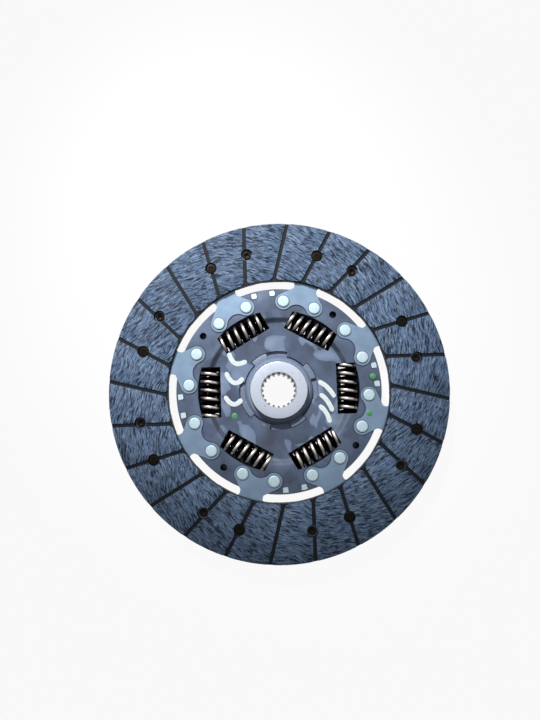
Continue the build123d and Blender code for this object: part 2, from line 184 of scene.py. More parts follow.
class SegmentSizes(bpy.types.PropertyGroup):
    """The cushion segments and the rivets in their feet."""

    edge_inset: length("Edge inset", "From the lining's edge to the paddle's", 2.0)
    gap: length("Gap", "Between neighbouring paddles", 1.8)
    neck_shift: angle("Neck shift", "From the paddle's middle to the neck's", 9.0)
    neck_width: length("Neck width", "Width of the neck", 16.6)
    neck_start: length("Neck start", "From the plate's edge to the neck's straight sides", 1.0)
    neck_root: length("Neck root", "Rounding where the neck meets the paddle", 2.4)
    lobe_r: length("Lobe radius", "Round end of the foot about each rivet", 5.85)
    scallop_r: length("Scallop radius", "Hollow between the two lobes", 8.1)
    broken_edge: length("Edge", "Rounding of the sheared edge", 0.12)
    head_r: length("Head radius", "Radius of a foot rivet's head", 4.15)
    head_height: length("Head height", "Height of a foot rivet's head", 1.1)
    shank_r: length("Shank radius", "Radius of a foot rivet's shank", 2.6)
    tail_r: length("Tail radius", "Radius of a foot rivet's closed end", 3.7)
    tail_height: length("Tail height", "Height of a foot rivet's closed end", 1.2)


class PlateSizes(bpy.types.PropertyGroup):
    """The guide plates and the stop spacers between them."""

    thickness: length("Thickness", "Thickness of the sheet", 2.5)
    dish_inner_r: length("Dish inner radius", "Where the slope to the rim starts", 49.2)
    dish_outer_r: length("Dish outer radius", "Where the slope to the rim ends", 52.0)
    dish_round: length("Dish rounding", "How far the slope's corners are rounded back", 1.0)
    window_half_width: length("Window half width", "Half of a spring window's width", 8.1)
    window_half_length: length("Window half length", "Half of a spring window's length", 18.05)
    slot_half_width: length("Slot half width", "Half of the slot between the rear lips", 3.4)
    lip: length("Lip", "Thickness of the lips round the springs", 1.7)
    opening_r: length("Opening", "Radius of the front plate's opening", 24.88)
    notch_r: length("Notch radius", "Radius of the notches in the opening", 28.28)
    notch_span: angle("Notch span", "Angle that a notch and its lug take", 58.0)
    lug_angle: angle("Lug", "Direction of the bush's first lug", 31.5)
    lug_span: angle("Lug span", "Angle that a lug takes", 25.0)
    lug_gap: length("Lug gap", "Between a lug and its notch", 0.4)
    pilot_angle: angle("Pilot hole", "Direction of the first pilot hole", 54.5)
    pilot_circle_r: length("Pilot circle", "Radius of the pilot holes' circle", 66.7)
    pilot_r: length("Pilot radius", "Radius of a pilot hole", 2.5)
    broken_edge: length("Edge", "Rounding of the plates' edges", 0.25)
    spacer_length: length("Spacer length", "Length of a stop spacer", 17.0)
    tenon: length("Tenon", "Width of a tenon", 3.7)
    tenon_spread: length("Tenon spread", "Between the two tenons of a spacer", 13.1)
    tenon_gap: length("Tenon gap", "Round each tenon in its hole", 0.3)
    tenon_round: length("Tenon rounding", "Rounding of a tenon's corners", 0.7)


class HubSizes(bpy.types.PropertyGroup):
    """The hub, the bushes and the damper springs."""

    teeth: how_many("Teeth", "Teeth in the bore", 20)
    bore_r: length("Bore radius", "Radius of the bore between the teeth", 12.5)
    tooth_tip_r: length("Tooth tip radius", "Radius inside the teeth", 11.2)
    lead_r: length("Lead radius", "Radius of the flared mouths", 12.7)
    tooth_tip: length("Tooth tip", "Width of a tooth at its tip", 1.2)
    tooth_root: length("Tooth root", "Width of a tooth at its root", 2.3)
    front_journal_r: length("Front journal", "Radius of the hub in the front bush", 20.4)
    rear_journal_r: length("Rear journal", "Radius of the hub in the rear bush", 18.5)
    face_chamfer: length("Chamfer", "Chamfer of the hub's rims", 0.5)
    flange_window_gap: length("Flange window", "Between the flange and a spring's sides", 0.4)
    stop_gap: length("Stop gap", "Between a stop spacer and the notch's floor", 0.8)
    stop_reach: angle("Stop reach", "Half of the angle that a stop notch takes", 15.62)
    collar_land: length("Collar land", "Width of the bush collar's flat top", 1.8)
    collar_flank: length("Collar flank", "Width of the slope round the collar", 1.9)
    bush_flange_r: length("Bush flange", "Radius of the front bush's hidden flange", 33.0)
    journal_gap: length("Journal gap", "Between the hub and the bushes", 0.08)
    twist: angle("Twist", "How far the hub turns each way", 8.0)
    spring_d: length("Spring diameter", "Outside diameter of the springs", 16.0)
    spring_length: length("Spring length", "Length of the springs", 36.0)
    wire_d: length("Wire", "Diameter of the spring wire", 3.9)
    pitch: length("Pitch", "Distance between the spring's turns", 6.0)


class Finishes(bpy.types.PropertyGroup):
    """Colours of the finishes."""

    lining: colour("Lining", "Body of the friction lining", "#637B9D")
    lining_dark: colour("Dark fibres", "Dark fibres and cracks in the lining", "#0E1520")
    lining_light: colour("Light fibres", "Worn fibres in the lining", "#93ABCA")
    # the groove and pocket colours are painted shade below the pads' top
    groove: colour("Groove", "Shaded floor of the grooves", "#11161E")
    pocket_shade: colour("Pocket", "Walls of the rivet pockets", "#0A0A0C")
    cushion: colour("Cushion steel", "Cold-rolled spring steel", "#7F96AF")
    plate: colour("Phosphated plate", "Phosphated steel", "#55647E")
    plate_stain: colour("Plate stain", "Lighter oil stains on the plate", "#8294B0")
    plate_dark: colour("Plate shade", "Darker patches on the plate", "#3F4759")
    hub: colour("Hub steel", "Bright machined steel", "#CBD3E2")
    spline: colour("Spline", "Phosphated splines and flange of the hub", "#2B2C31")
    rivet: colour("Rivet", "Bright zinc plating", "#BFD4DD")
    lining_rivet: colour("Lining rivet", "Tarnished copper plating", "#1C1613")
    spring: colour("Spring", "Black oxide on the spring wire", "#0C0B0B")
    # a painted highlight along the outside of every turn of the springs
    spring_bare: colour("Highlighted spring", "Bare steel on the springs' outsides", "#D0C8C4")
    bush: colour("Bush", "Grey glass-filled nylon", "#77859E")
    washer: colour("Washer", "Dark friction washer compound", "#3A3E48")
    blued: colour("Blued steel", "Blued steel of the disc spring", "#5F6B86")
    white_paint: colour("White paint", "White paint pen", "#EEF9FA")
    green_paint: colour("Green paint", "Green paint pen", "#4E9A66")


class StageSizes(bpy.types.PropertyGroup):
    """The camera, the lamps and the floor."""

    distance: length("Distance", "From the camera to the middle of the disc", 399.4)
    tilt_x: angle("Tilt about X", "How the disc leans about the picture's level axis", -5.09)
    tilt_y: angle("Tilt about Y", "How the disc leans about the picture's upright axis", -0.72)
    centre_u: amount("Centre across", "The middle across the picture", 278.8, subtype="PIXEL")
    centre_v: amount("Centre down", "The middle down the picture", 390.0, subtype="PIXEL")
    focal: amount("Focal length", "Focal length in pixels", 568.0, subtype="PIXEL")
    key_power: amount("Key lamp", "Power of the key lamp", 58.0, unit="POWER")
    key_cone: angle("Key cone", "How wide the key lamp's light spreads", 19.1)
    key_blend: amount("Key blend", "Share of the cone over which the light fades", 0.32)
    key_place: position("Key place", "Where the key lamp stands", (-0.26, 0.70, 0.86))
    key_aim: position("Key aim", "What the key lamp points at", (-0.034, 0.124, 0.0))
    key_size: length("Key size", "Radius of the key lamp, which softens shadows", 50)
    sky: amount("Sky", "Strength of the even light from all round", 0.1)
    dark_walls: amount("Dark walls", "Strength of the walls that metal reflects", 0.2)
    floor_glow: amount("Floor glow", "Share of the floor that shows as plain white", 0.94)
    floor_size: length("Floor size", "From the floor's middle to its edge", 3000)
    floor_gap: length("Floor gap", "Between the hub's rear face and the floor", 0.05)


class ClutchDiscSettings(bpy.types.PropertyGroup):
    """Everything that a user would change."""

    layout: PointerProperty(type=LayoutSizes)
    lining: PointerProperty(type=LiningSizes)
    segment: PointerProperty(type=SegmentSizes)
    plate: PointerProperty(type=PlateSizes)
    hub: PointerProperty(type=HubSizes)
    finish: PointerProperty(type=Finishes)
    stage: PointerProperty(type=StageSizes)


def settings():
    return bpy.context.scene.clutch_disc


# ---------------------------------------------------------------- mesh tools
def about_z(turn):
    return Matrix.Rotation(turn, 4, "Z")


def at(x, y, z=0.0):
    return Matrix.Translation((x, y, z))


def polar(radius, direction):
    """The place at a radius and a direction, turned to face outwards."""
    return about_z(direction) @ at(radius, 0)


def points(geom):
    return [g for g in geom if isinstance(g, bmesh.types.BMVert)]


def everything(bm):
    return bm.faces[:] + bm.edges[:] + bm.verts[:]


def upright(bm, longer=mm(1)):
    """The edges that rise by more than a length."""
    return [e for e in bm.edges if abs(e.verts[0].co.z - e.verts[1].co.z) > longer]


def moved(bm, matrix):
    bmesh.ops.transform(bm, matrix=matrix, verts=bm.verts)
    return bm


def faced_out(bm):
    bmesh.ops.recalc_face_normals(bm, faces=bm.faces)
    return bm


def rounded(bm, geom, offset, segments=3, affect="EDGES"):
    """Round edges, or the corners of a flat face."""
    bmesh.ops.bevel(
        bm, geom=geom, offset=offset, segments=segments, affect=affect, profile=0.5,
        material=-1, clamp_overlap=affect == "EDGES",
    )
    return bm


def turned(outline, rounds=(), steps=TURNED_STEPS):
    """A closed outline of (radius, height) corners turned about Z.

    rounds holds (corner numbers, setback) pairs for corners that are rounded first.
    """
    bm = bmesh.new()
    corners = [bm.verts.new((r, 0, z)) for r, z in outline]
    bm.faces.new(corners)
    for numbers, setback in rounds:
        rounded(bm, [corners[i] for i in numbers], setback, 5, "VERTICES")
    bmesh.ops.delete(bm, geom=list(bm.faces), context="FACES_ONLY")
    bmesh.ops.spin(
        bm, geom=bm.verts[:] + bm.edges[:], angle=FULL_TURN, steps=steps, use_merge=True,
        **ABOUT_Z,
    )
    on_axis = [v for v in bm.verts if hypot(v.co.x, v.co.y) < SAME_PLACE]
    bmesh.ops.remove_doubles(bm, verts=on_axis, dist=SAME_PLACE)
    return faced_out(bm)


def raised(bm, faces, height):
    """Extrude faces along Z and return the faces at the far end."""
    made = bmesh.ops.extrude_face_region(bm, geom=faces)["geom"]
    bmesh.ops.translate(bm, verts=points(made), vec=(0, 0, height))
    return [g for g in made if isinstance(g, bmesh.types.BMFace)]


def trim(bm, point, outwards):
    """Cut a closed bmesh off at a plane and close its end."""
    cut = bmesh.ops.bisect_plane(
        bm, geom=everything(bm), plane_co=point, plane_no=outwards, clear_outer=True
    )
    rim = [g for g in cut["geom_cut"] if isinstance(g, bmesh.types.BMEdge)]
    bmesh.ops.holes_fill(bm, edges=rim, sides=0)


def block(x_low, x_high, y_low, y_high, z_low, z_high):
    """A closed box between the given limits."""
    bm = bmesh.new()
    size = Vector((x_high - x_low, y_high - y_low, z_high - z_low))
    centre = Vector((x_high + x_low, y_high + y_low, z_high + z_low)) / 2
    place = Matrix.Translation(centre) @ Matrix.Diagonal(size).to_4x4()
    bmesh.ops.create_cube(bm, size=1, matrix=place)
    return bm


def drum(radius, z_low, z_high, sides=HOLE_SIDES):
    """A closed cylinder about Z."""
    bm = bmesh.new()
    bmesh.ops.create_cone(
        bm, cap_ends=True, segments=sides, radius1=radius, radius2=radius,
        depth=z_high - z_low, matrix=at(0, 0, (z_low + z_high) / 2),
    )
    return bm


def sector(r_low, r_high, start, span, z_low, z_high, steps=24):
    """A closed piece of a ring between two angles."""
    bm = bmesh.new()
    ends = [bm.verts.new((r, 0, z_low)) for r in (r_low, r_high)]
    edge = bm.edges.new(ends)
    bmesh.ops.rotate(bm, verts=ends, cent=(0, 0, 0), matrix=about_z(start).to_3x3())
    bmesh.ops.spin(bm, geom=[*ends, edge], angle=span, steps=steps, **ABOUT_Z)
    raised(bm, bm.faces[:], z_high - z_low)
    bmesh.ops.remove_doubles(bm, verts=bm.verts, dist=SAME_PLACE / 10)
    return faced_out(bm)


def combine(target, tool, operation):
    """Join or cut one closed bmesh with another. Both are used up."""
    parts = []
    for bm in (target, tool):
        mesh = bpy.data.meshes.new("part")
        bm.to_mesh(mesh)
        bm.free()
        parts.append(bpy.data.objects.new("part", mesh))
        bpy.context.collection.objects.link(parts[-1])
    modifier = parts[0].modifiers.new("combine", "BOOLEAN")
    modifier.operation = operation
    modifier.object = parts[1]
    modifier.solver = "EXACT"
    result = bmesh.new()
    result.from_object(parts[0], bpy.context.evaluated_depsgraph_get())
    for part in parts:
        bpy.data.meshes.remove(part.data)
    bmesh.ops.remove_doubles(result, verts=result.verts, dist=SAME_PLACE)
    return result


def cut(bm, *cutters):
    for cutter in cutters:
        bm = combine(bm, cutter, "DIFFERENCE")
    return bm


def together(bm, other):
    """Put two bmeshes into one. The second is used up."""
    mesh = bpy.data.meshes.new("part")
    other.to_mesh(mesh)
    other.free()
    bm.from_mesh(mesh)
    bpy.data.meshes.remove(mesh)
    return bm


def outer_shell(bm):
    """The convex hull of a bmesh, which is used up: the hull's own faces and points alone."""
    hull = bmesh.new()
    for v in bm.verts:
        hull.verts.new(v.co)
    bm.free()
    bmesh.ops.remove_doubles(hull, verts=hull.verts, dist=SAME_PLACE)
    made = bmesh.ops.convex_hull(hull, input=hull.verts)
    bmesh.ops.delete(hull, geom=points(made["geom_interior"]), context="VERTS")
    bmesh.ops.dissolve_limit(hull, angle_limit=radians(0.5), verts=hull.verts, edges=hull.edges)
    return faced_out(hull)


def repeated(bm, places, step=None):
    """Repeat a bmesh about Z, evenly or by a given angle."""
    step = FULL_TURN / places if step is None else step
    bmesh.ops.spin(
        bm, geom=everything(bm), angle=step * (places - 1), steps=places - 1,
        use_duplicate=True, **ABOUT_Z,
    )
    return bm


# ---------------------------------------------------------------- places that pieces share
def at_lining_rivets(bm, side):
    """Repeat what stands on Z at the lining rivets on one side of the segments' middles."""
    layout = settings().layout
    direction = layout.paddle_angle + side * layout.rivet_spread / 2
    return repeated(moved(bm, polar(layout.rivet_circle_r, direction)), layout.segments)


def at_foot_rivets(bm):
    """Repeat what stands on Z at both rivets of every segment's foot."""
    layout = settings().layout
    first = layout.paddle_angle + layout.foot_shift - layout.foot_spread / 2
    pair = repeated(moved(bm, polar(layout.foot_circle_r, first)), 2, layout.foot_spread)
    return repeated(pair, layout.segments)


def at_springs(bm):
    """Repeat what stands along Y on the springs' circle at every spring."""
    layout = settings().layout
    return repeated(moved(bm, about_z(layout.spring_angle)), layout.springs)


def over_springs(half_width, half_length, low, high):
    """A box along Y on the springs' circle."""
    middle = settings().layout.spring_circle_r
    return block(middle - half_width, middle + half_width, -half_length, half_length, low, high)


def spring_seat(radius, half_length):
    """A closed cylinder along Y on the springs' circle."""
    layout = settings().layout
    low, high = levels("damper_spring_1")
    along = at(layout.spring_circle_r, 0, (low + high) / 2) @ Matrix.Rotation(pi / 2, 4, "X")
    return moved(drum(radius, -half_length, half_length, 72), along)


def spring_room(shape):
    """The room of every spring at rest and at both ends of its swing, as one cutter.

    A squeezed spring leans by half of the hub's twist, so its seats are flared by as much.
    """
    layout, lean = settings().layout, settings().hub.twist / 2
    half_length = settings().plate.window_half_length
    room = shape(half_length)
    for turn in (-lean, lean):
        flare = moved(shape(half_length - layout.spring_circle_r * lean), about_z(turn))
        room = combine(room, flare, "UNION")
    return at_springs(room)


def tenon_pair(width, low, high):
    """The two rounded square tenons of a stop spacer on X."""
    sizes = settings().plate
    middle = radii("stop_spacer_1")[0] + sizes.tenon / 2
    pair = bmesh.new()
    for side in (-1, 1):
        y = side * sizes.tenon_spread / 2
        tenon = block(middle - width / 2, middle + width / 2, y - width / 2, y + width / 2, low, high)
        pair = together(pair, rounded(tenon, upright(tenon), sizes.tenon_round))
    return faced_out(pair)


def groove_direction():
    """Direction of the first groove's frame: its middle line crosses the first rivet head."""
    layout, sizes = settings().layout, settings().lining
    first_head = layout.paddle_angle + layout.rivet_spread / 2
    return first_head - asin(sizes.groove_offset / layout.rivet_circle_r)


def turn_over():
    """Turns the front ring, lying on Z = 0, over to its place behind the segments."""
    behind = levels("cushion_segment_1")[0]
    around = about_z(2 * settings().layout.paddle_angle)
    return at(0, 0, behind) @ around @ Matrix.Rotation(pi, 4, "X")


def finish(bm, name, body, material, slot, *nodes):
    """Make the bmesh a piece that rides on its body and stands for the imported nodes."""
    mesh = bpy.data.meshes.new(name)
    bm.to_mesh(mesh)
    bm.free()
    mesh.shade_smooth()
    mesh.set_sharp_from_angle(angle=SMOOTH_BELOW)
    mesh.materials.append(material)
    piece = bpy.data.objects.new(name, mesh)
    bpy.context.collection.objects.link(piece)
    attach(piece, body)
    if nodes:
        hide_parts(*nodes)
    return piece


def finish_round(bm, name, body, material, slot, node, first, places):
    """Finish like pieces that stand evenly round the axis. Returns each with its direction."""
    made = []
    for place in range(places):
        direction = first + FULL_TURN / places * place
        piece = finish(
            moved(bm.copy(), about_z(direction)), f"{name}_{place + 1}", body, material, slot,
            f"{node}_{place + 1}",
        )
        made.append((piece, direction))
    bm.free()
    return made


def finish_rings(bm, name, materials, slot, node):
    """Finish the front ring's piece, lying on Z = 0, and the rear ring's, which is turned over."""
    front = at(0, 0, levels("front_lining")[0])
    for side, place, material in zip(("front", "rear"), (front, turn_over()), materials):
        finish(moved(bm.copy(), place), f"{side}_{name}", DISC, material, slot, node.format(side=side))
    bm.free()


# ---------------------------------------------------------------- material tools
def live(sockets, name=None):
    """The first socket in use, or the first one of that name."""
    return next(s for s in sockets if s.enabled and name in (None, s.name))


def plug(node, inputs):
    """Give a node's inputs, by name or in order, values, sockets or nodes.

    A node gives its first output.
    """
    pairs = inputs.items() if isinstance(inputs, dict) else enumerate(inputs)
    for key, value in pairs:
        socket = node.inputs[key] if isinstance(key, int) else live(node.inputs, key)
        if isinstance(value, bpy.types.Node):
            value = live(value.outputs)
        if isinstance(value, bpy.types.NodeSocket):
            node.id_data.links.new(value, socket)
        else:
            socket.default_value = value


def add_node(tree, kind, inputs=None, stops=(), **options):
    """Add a node, set its options and colour stops, and plug its inputs."""
    made = tree.nodes.new("ShaderNode" + kind)
    for name, value in options.items():
        setattr(made, name, value)
    for order, (position, shade) in enumerate(stops):
        elements = made.color_ramp.elements
        element = elements[order] if order < 2 else elements.new(position)
        element.position, element.color = position, shade
    plug(made, inputs or {})
    return made


def per(size):
    """Noise scale whose pattern repeats about every size, which is given in metres."""
    return 1 / size


def new_material(name):
    """A material, what adds a node to it, its shader and its Object coordinates."""
    material = bpy.data.materials.new(name)
    material.use_nodes = True
    material.node_tree.nodes.clear()
    add = partial(add_node, material.node_tree)
    shader = add("BsdfPrincipled")
    add("OutputMaterial", {"Surface": shader})
    return material, add, shader, add("TexCoord").outputs["Object"]


def clouded(add, place, size, stops, **noise):
    """A noise of a real size, and the shades that it is drawn in."""
    inputs = {"Vector": place, "Scale": per(size), "Detail": 2.0}
    cloud = add("TexNoise", {**inputs, **{k.title(): v for k, v in noise.items()}})
    return cloud, add("ValToRGB", (cloud,), stops)


def from_axis(add, place):
    """The point at Z = 0 below a place, and its distance from the axis."""
    flat = add("VectorMath", (place, (1, 1, 0)), operation="MULTIPLY")
    return flat, add("VectorMath", (flat,), operation="LENGTH")


def painted_corner_shade(add, shade, shaded_colour, reach):
    """Paint shade into a colour in the corners, where nearby surfaces shelter it from the light."""
    shelter = add("AmbientOcclusion", {"Distance": reach}, samples=8)
    unshaded = add("MapRange", {"Value": shelter.outputs["AO"], "From Min": 0.5, "From Max": 0.92})
    return add("Mix", {"Factor": unshaded, "A": shaded_colour, "B": shade}, data_type="RGBA")


# ---------------------------------------------------------------- finishes
def moulded_lining(name, turned_over):
    """Moulded organic lining: matt resin over yarn, so dark and light fibre streaks run round
    the ring and turn from pad to pad."""
    sizes, layout, shades = settings().lining, settings().layout, settings().finish
    material, add, shader, place = new_material(name)
    if turned_over:
        flip = (pi, 0, 2 * layout.paddle_angle)
        place = add("Mapping", {"Vector": place, "Rotation": flip}).outputs[0]
    # which pad a point is on: the grooves pass the axis at an offset
    apart = add("SeparateXYZ", (place,))
    flat, reach = from_axis(add, place)
    ratio = add("Math", (sizes.groove_offset, reach), operation="DIVIDE")
    lean = add("Math", (ratio,), operation="ARCSINE")
    around = add("Math", (apart.outputs["Y"], apart.outputs["X"]), operation="ARCTAN2")
    past_groove = add("Math", (around, lean), operation="SUBTRACT")
    pitch, first = FULL_TURN / sizes.pads, groove_direction()
    in_pads = add("Math", (past_groove, 1 / pitch, -first / pitch), operation="MULTIPLY_ADD")
    pad = add("Math", (in_pads,), operation="FLOOR")
    pad_turn = add("Math", (pad, -pitch, -first), operation="MULTIPLY_ADD")
    turned_back = add("VectorRotate", {"Vector": flat, "Angle": pad_turn}, rotation_type="Z_AXIS")
    # each pad shows another part of the pattern
    pad_shift = mm(31)
    shift = add("Math", (pad, pad_shift), operation="MULTIPLY")
    shift = add("CombineXYZ", {"Y": shift, "Z": shift})
    local = add("VectorMath", (turned_back, shift))
    wave_size, wave_height = mm(13), (mm(4.5), mm(1.5), 0.0)
    bend = add("TexNoise", {"Vector": local, "Scale": per(wave_size), "Detail": 1.0})
    bent = add("VectorMath", (bend.outputs["Color"], wave_height, local), operation="MULTIPLY_ADD")
    # the yarn is about half a millimetre thick, and is drawn up to twice as thick so that it shows
    strands = []
    for width, run, offset in ((1.05, 6.5, 0.0), (0.8, 5.0, 7.3), (2.2, 14.0, 3.1)):
        stretch = (per(mm(width)), per(mm(run)), per(mm(3)))
        drawn = add("Mapping", {"Vector": bent, "Location": [offset] * 3, "Scale": stretch})
        strands.append(add(
            "TexNoise", {"Vector": drawn, "Scale": 1.0, "Detail": 3.0, "Roughness": 0.65}
        ))
    body = clouded(add, local, mm(14), ((0.32, scaled(shades.lining, 0.66)), (0.65, shades.lining)))[1]
    for share, strand, shade, stops in (
        (0.9, strands[1], shades.lining_light, ((0.48, BLACK), (0.64, WHITE))),
        (0.92, strands[0], shades.lining_dark, ((0.41, WHITE), (0.485, BLACK))),
        (0.9, strands[2], shades.lining_dark, ((0.445, BLACK), (0.47, WHITE), (0.495, BLACK))),
    ):
        mask = add("ValToRGB", (strand,), stops)
        mask = add("Math", (mask, share), operation="MULTIPLY")
        body = add("Mix", {"Factor": mask, "A": body, "B": shade}, data_type="RGBA")
    # below the worn face the colour is painted shade: dark on the grooves' floors and the upper side
    # walls, and nearly black lower down, in the rivet pockets and on the lower side walls
    face = levels("front_lining")[1]
    floor = face - sizes.groove_depth
    for shade, deep, shallow in (
        (shades.groove, floor + mm(0.5), face - mm(0.02)),
        (shades.pocket_shade, floor - mm(0.35), floor - mm(0.05)),
    ):
        above = add("MapRange", {"Value": apart.outputs["Z"], "From Min": deep, "From Max": shallow})
        body = add("Mix", {"Factor": above, "A": shade, "B": body}, data_type="RGBA")
    bump = add("Bump", {"Strength": 0.5, "Distance": mm(0.12), "Height": strands[0]})
    # the porous, fibrous face traps most of the gloss that smooth resin would have
    plug(shader, {
        "Base Color": body, "Normal": bump, "Roughness": 0.55, "IOR": 1.5,
        "Specular IOR Level": 0.2,
    })
    return material


def rolled_steel(name, shade, roughness):
    """Cold-rolled strip: even, satin and bright, with faint cloudy marks."""
    material, add, shader, place = new_material(name)
    cloud, base = clouded(
        add, place, mm(9), ((0.3, scaled(shade, 0.86)), (0.7, scaled(shade, 1.05))), detail=3.0
    )
    satin = add("MapRange", {"Value": cloud, "To Min": roughness - 0.06, "To Max": roughness + 0.06})
    # rolling grain is a few hundredths of a millimetre, and is drawn 0.4 mm wide
    grain = add("Mapping", {"Vector": place, "Scale": (1.0, 0.08, 1.0)})
    grain = add("TexNoise", {"Vector": grain, "Scale": per(mm(0.4)), "Detail": 2.0})
    # the base colour gets painted shade in the corners
    plug(shader, {
        "Base Color": painted_corner_shade(add, base, scaled(shade, 0.08), mm(1.3)),
        "Normal": add("Bump", {"Strength": 0.25, "Distance": mm(0.02), "Height": grain}),
        "Roughness": satin, "Metallic": 0.6,
    })
    return material


def phosphated_steel(name):
    """Phosphated and oiled pressed steel: grey and dull, with crisp-edged dried oil stains."""
    sizes, shades = settings().plate, settings().finish
    material, add, shader, place = new_material(name)
    body = clouded(
        add, place, mm(24), ((0.35, shades.plate_dark), (0.62, shades.plate)), detail=4.0,
        roughness=0.55,
    )[1]
    stain, edge = clouded(
        add, place, mm(17), ((0.52, BLACK), (0.535, GREY), (0.66, WHITE)), detail=1.5,
        distortion=0.6,
    )
    # oil creeps from the bush, so the stains thin out towards the rim
    reach = from_axis(add, place)[1]
    wet_to, dry_from, left_at_rim = mm(42), mm(56), 0.15
    share = add("MapRange", {
        "Value": reach, "From Min": wet_to, "From Max": dry_from, "To Min": 1.0,
        "To Max": left_at_rim,
    })
    share = add("Math", (share, edge), operation="MULTIPLY")
    body = add("Mix", {"Factor": share, "A": body, "B": shades.plate_stain}, data_type="RGBA")
    # a painted shade ring darkens the plate round the dish's bend
    bend_r, half_width, strength = (sizes.dish_inner_r + sizes.dish_outer_r) / 2, mm(1.6), 0.55
    ring = add("Math", (reach, bend_r, half_width), operation="COMPARE")
    ring = add("Math", (ring, strength), operation="MULTIPLY")
    body = add(
        "Mix", {"Factor": ring, "A": body, "B": scaled(shades.plate_dark, 0.35)},
        data_type="RGBA",
    )
    # phosphate crystals are too fine to show, and are drawn 0.5 mm across
    crystals = add("TexNoise", {"Vector": place, "Scale": per(mm(0.5)), "Detail": 2.0})
    # the base colour gets painted shade in the corners and in the holes
    plug(shader, {
        "Base Color": painted_corner_shade(add, body, scaled(shades.plate_dark, 0.2), mm(1.6)),
        "Normal": add("Bump", {"Strength": 0.35, "Distance": mm(0.03), "Height": crystals}),
        "Roughness": add("MapRange", {"Value": stain, "To Min": 0.62, "To Max": 0.42}),
        "Metallic": 0.35,
    })
    return material


def turned_steel(name):
    """Fine-turned steel: bright, with faint rings of tool marks and a few dark specks."""
    sizes, shades = settings().hub, settings().finish
    material, add, shader, place = new_material(name)
    # the feed marks are about 0.1 mm apart, and are drawn 0.5 mm apart
    rings = add(
        "TexWave",
        {"Vector": place, "Scale": per(mm(0.5)) / 20, "Distortion": 0.4, "Detail": 2.0},
        wave_type="RINGS", rings_direction="Z",
    )
    specks = clouded(
        add, place, mm(1.3),
        ((0.26, scaled(shades.hub, 0.45)), (0.34, scaled(shades.hub, 0.94)), (0.75, shades.hub)),
        detail=3.0,
    )[1]
    # the teeth are drawn bright at both mouths and in the darker spline colour deeper in the bore, and
    # the flange in the spline colour too
    reach = from_axis(add, place)[1]
    low, high = levels("hub")
    mouth_depth, margin = mm(1.1), mm(0.05)
    level = add("SeparateXYZ", (place,)).outputs["Z"]
    depth = add("Math", (level, (low + high) / 2), operation="SUBTRACT")
    depth = add("Math", (depth,), operation="ABSOLUTE")
    past_teeth = add("Math", (reach, sizes.lead_r + margin), operation="GREATER_THAN")
    mouth = add("Math", (depth, (high - low) / 2 - mouth_depth), operation="GREATER_THAN")
    bright = add("Math", (past_teeth, mouth), operation="MAXIMUM")
    journal = add("Math", (reach, sizes.front_journal_r + 4 * margin), operation="LESS_THAN")
    bright = add("Math", (bright, journal), operation="MULTIPLY")
    marks = {"Strength": 0.15, "Distance": mm(0.02), "Height": rings.outputs["Fac"]}
    plug(shader, {
        "Base Color": add("Mix", {"Factor": bright, "A": shades.spline, "B": specks}, data_type="RGBA"),
        "Normal": add("Bump", marks), "Metallic": 1.0, "Roughness": 0.32,
    })
    return material


def speckled(name, shade, size, tones, bump, stretch=1.0, detail=3.0, corner_shading=None, **gloss):
    """A finish whose shade and relief follow one noise.

    tones and the painted corner shade hold (noise level or reach, share of the shade), bump (strength,
    depth).
    """
    material, add, shader, place = new_material(name)
    if stretch != 1:
        place = add("Mapping", {"Vector": place, "Scale": (1.0, stretch, 1.0)})
    stops = [(level, scaled(shade, share)) for level, share in tones]
    noise, base = clouded(add, place, size, stops, detail=detail)
    if corner_shading:
        base = painted_corner_shade(add, base, scaled(shade, corner_shading[1]), corner_shading[0])
    relief = add("Bump", {"Strength": bump[0], "Distance": bump[1], "Height": noise})
    plug(shader, {"Base Color": base, "Normal": relief, **gloss})
    return material


def plated_rivet(name, shade, roughness, metallic):
    """Cold-headed and plated rivet steel: smooth, with faint pressing marks."""
    return speckled(
        name, shade, mm(1.6), ((0.3, 0.88), (0.6, 1)), (0.1, mm(0.05)), Roughness=roughness,
        Metallic=metallic,
    )


def moulded_nylon(name, shade, roughness):
    """Glass-filled nylon: satin, with short pale fibre flecks just under the skin."""
    # the nylon's corners get painted shade
    return speckled(
        name, shade, mm(0.8), ((0.35, 0.88), (0.7, 1.1)), (0.2, mm(0.02)), stretch=0.35,
        detail=2.0, corner_shading=(mm(0.9), 0.4), Roughness=roughness, IOR=1.53,
    )


def marker_paint(name, shade):
    """Paint pen: opaque and thick, a little thin where the pen ran dry."""
    return speckled(
        name, shade, mm(1.5), ((0.3, 0.85), (0.55, 1)), (0.3, mm(0.05)), detail=2.0,
        Roughness=0.45,
    )


def black_oxide_wire(name):
    """Shot-peened spring wire with oiled black oxide: nearly black, with a painted highlight in a pale
    steel colour along the outside of every turn."""
    shades = settings().finish
    material, add, shader, place = new_material(name)
    # peening dimples are about 0.3 mm across, and are drawn 0.6 mm across
    dimples = add("TexVoronoi", {"Vector": place, "Scale": per(mm(0.6))})
    painted_highlight = clouded(
        add, place, mm(3), ((0.35, scaled(shades.spring_bare, 0.8)), (0.6, shades.spring_bare))
    )[1]
    # the outside of every turn gets a painted highlight
    outwards = add("Attribute", attribute_name="outwards").outputs["Fac"]
    crest = add("MapRange", {"Value": outwards, "From Min": 0.80, "From Max": 0.97})
    plug(shader, {
        "Base Color": add("Mix", {"Factor": crest, "A": shades.spring, "B": painted_highlight}, data_type="RGBA"),
        "Normal": add("Bump", {"Strength": 0.2, "Distance": mm(0.03), "Height": dimples}),
        "Metallic": 1.0, "Specular Tint": scaled(WHITE, 0.12), "Roughness": 0.36,
    })
    return material


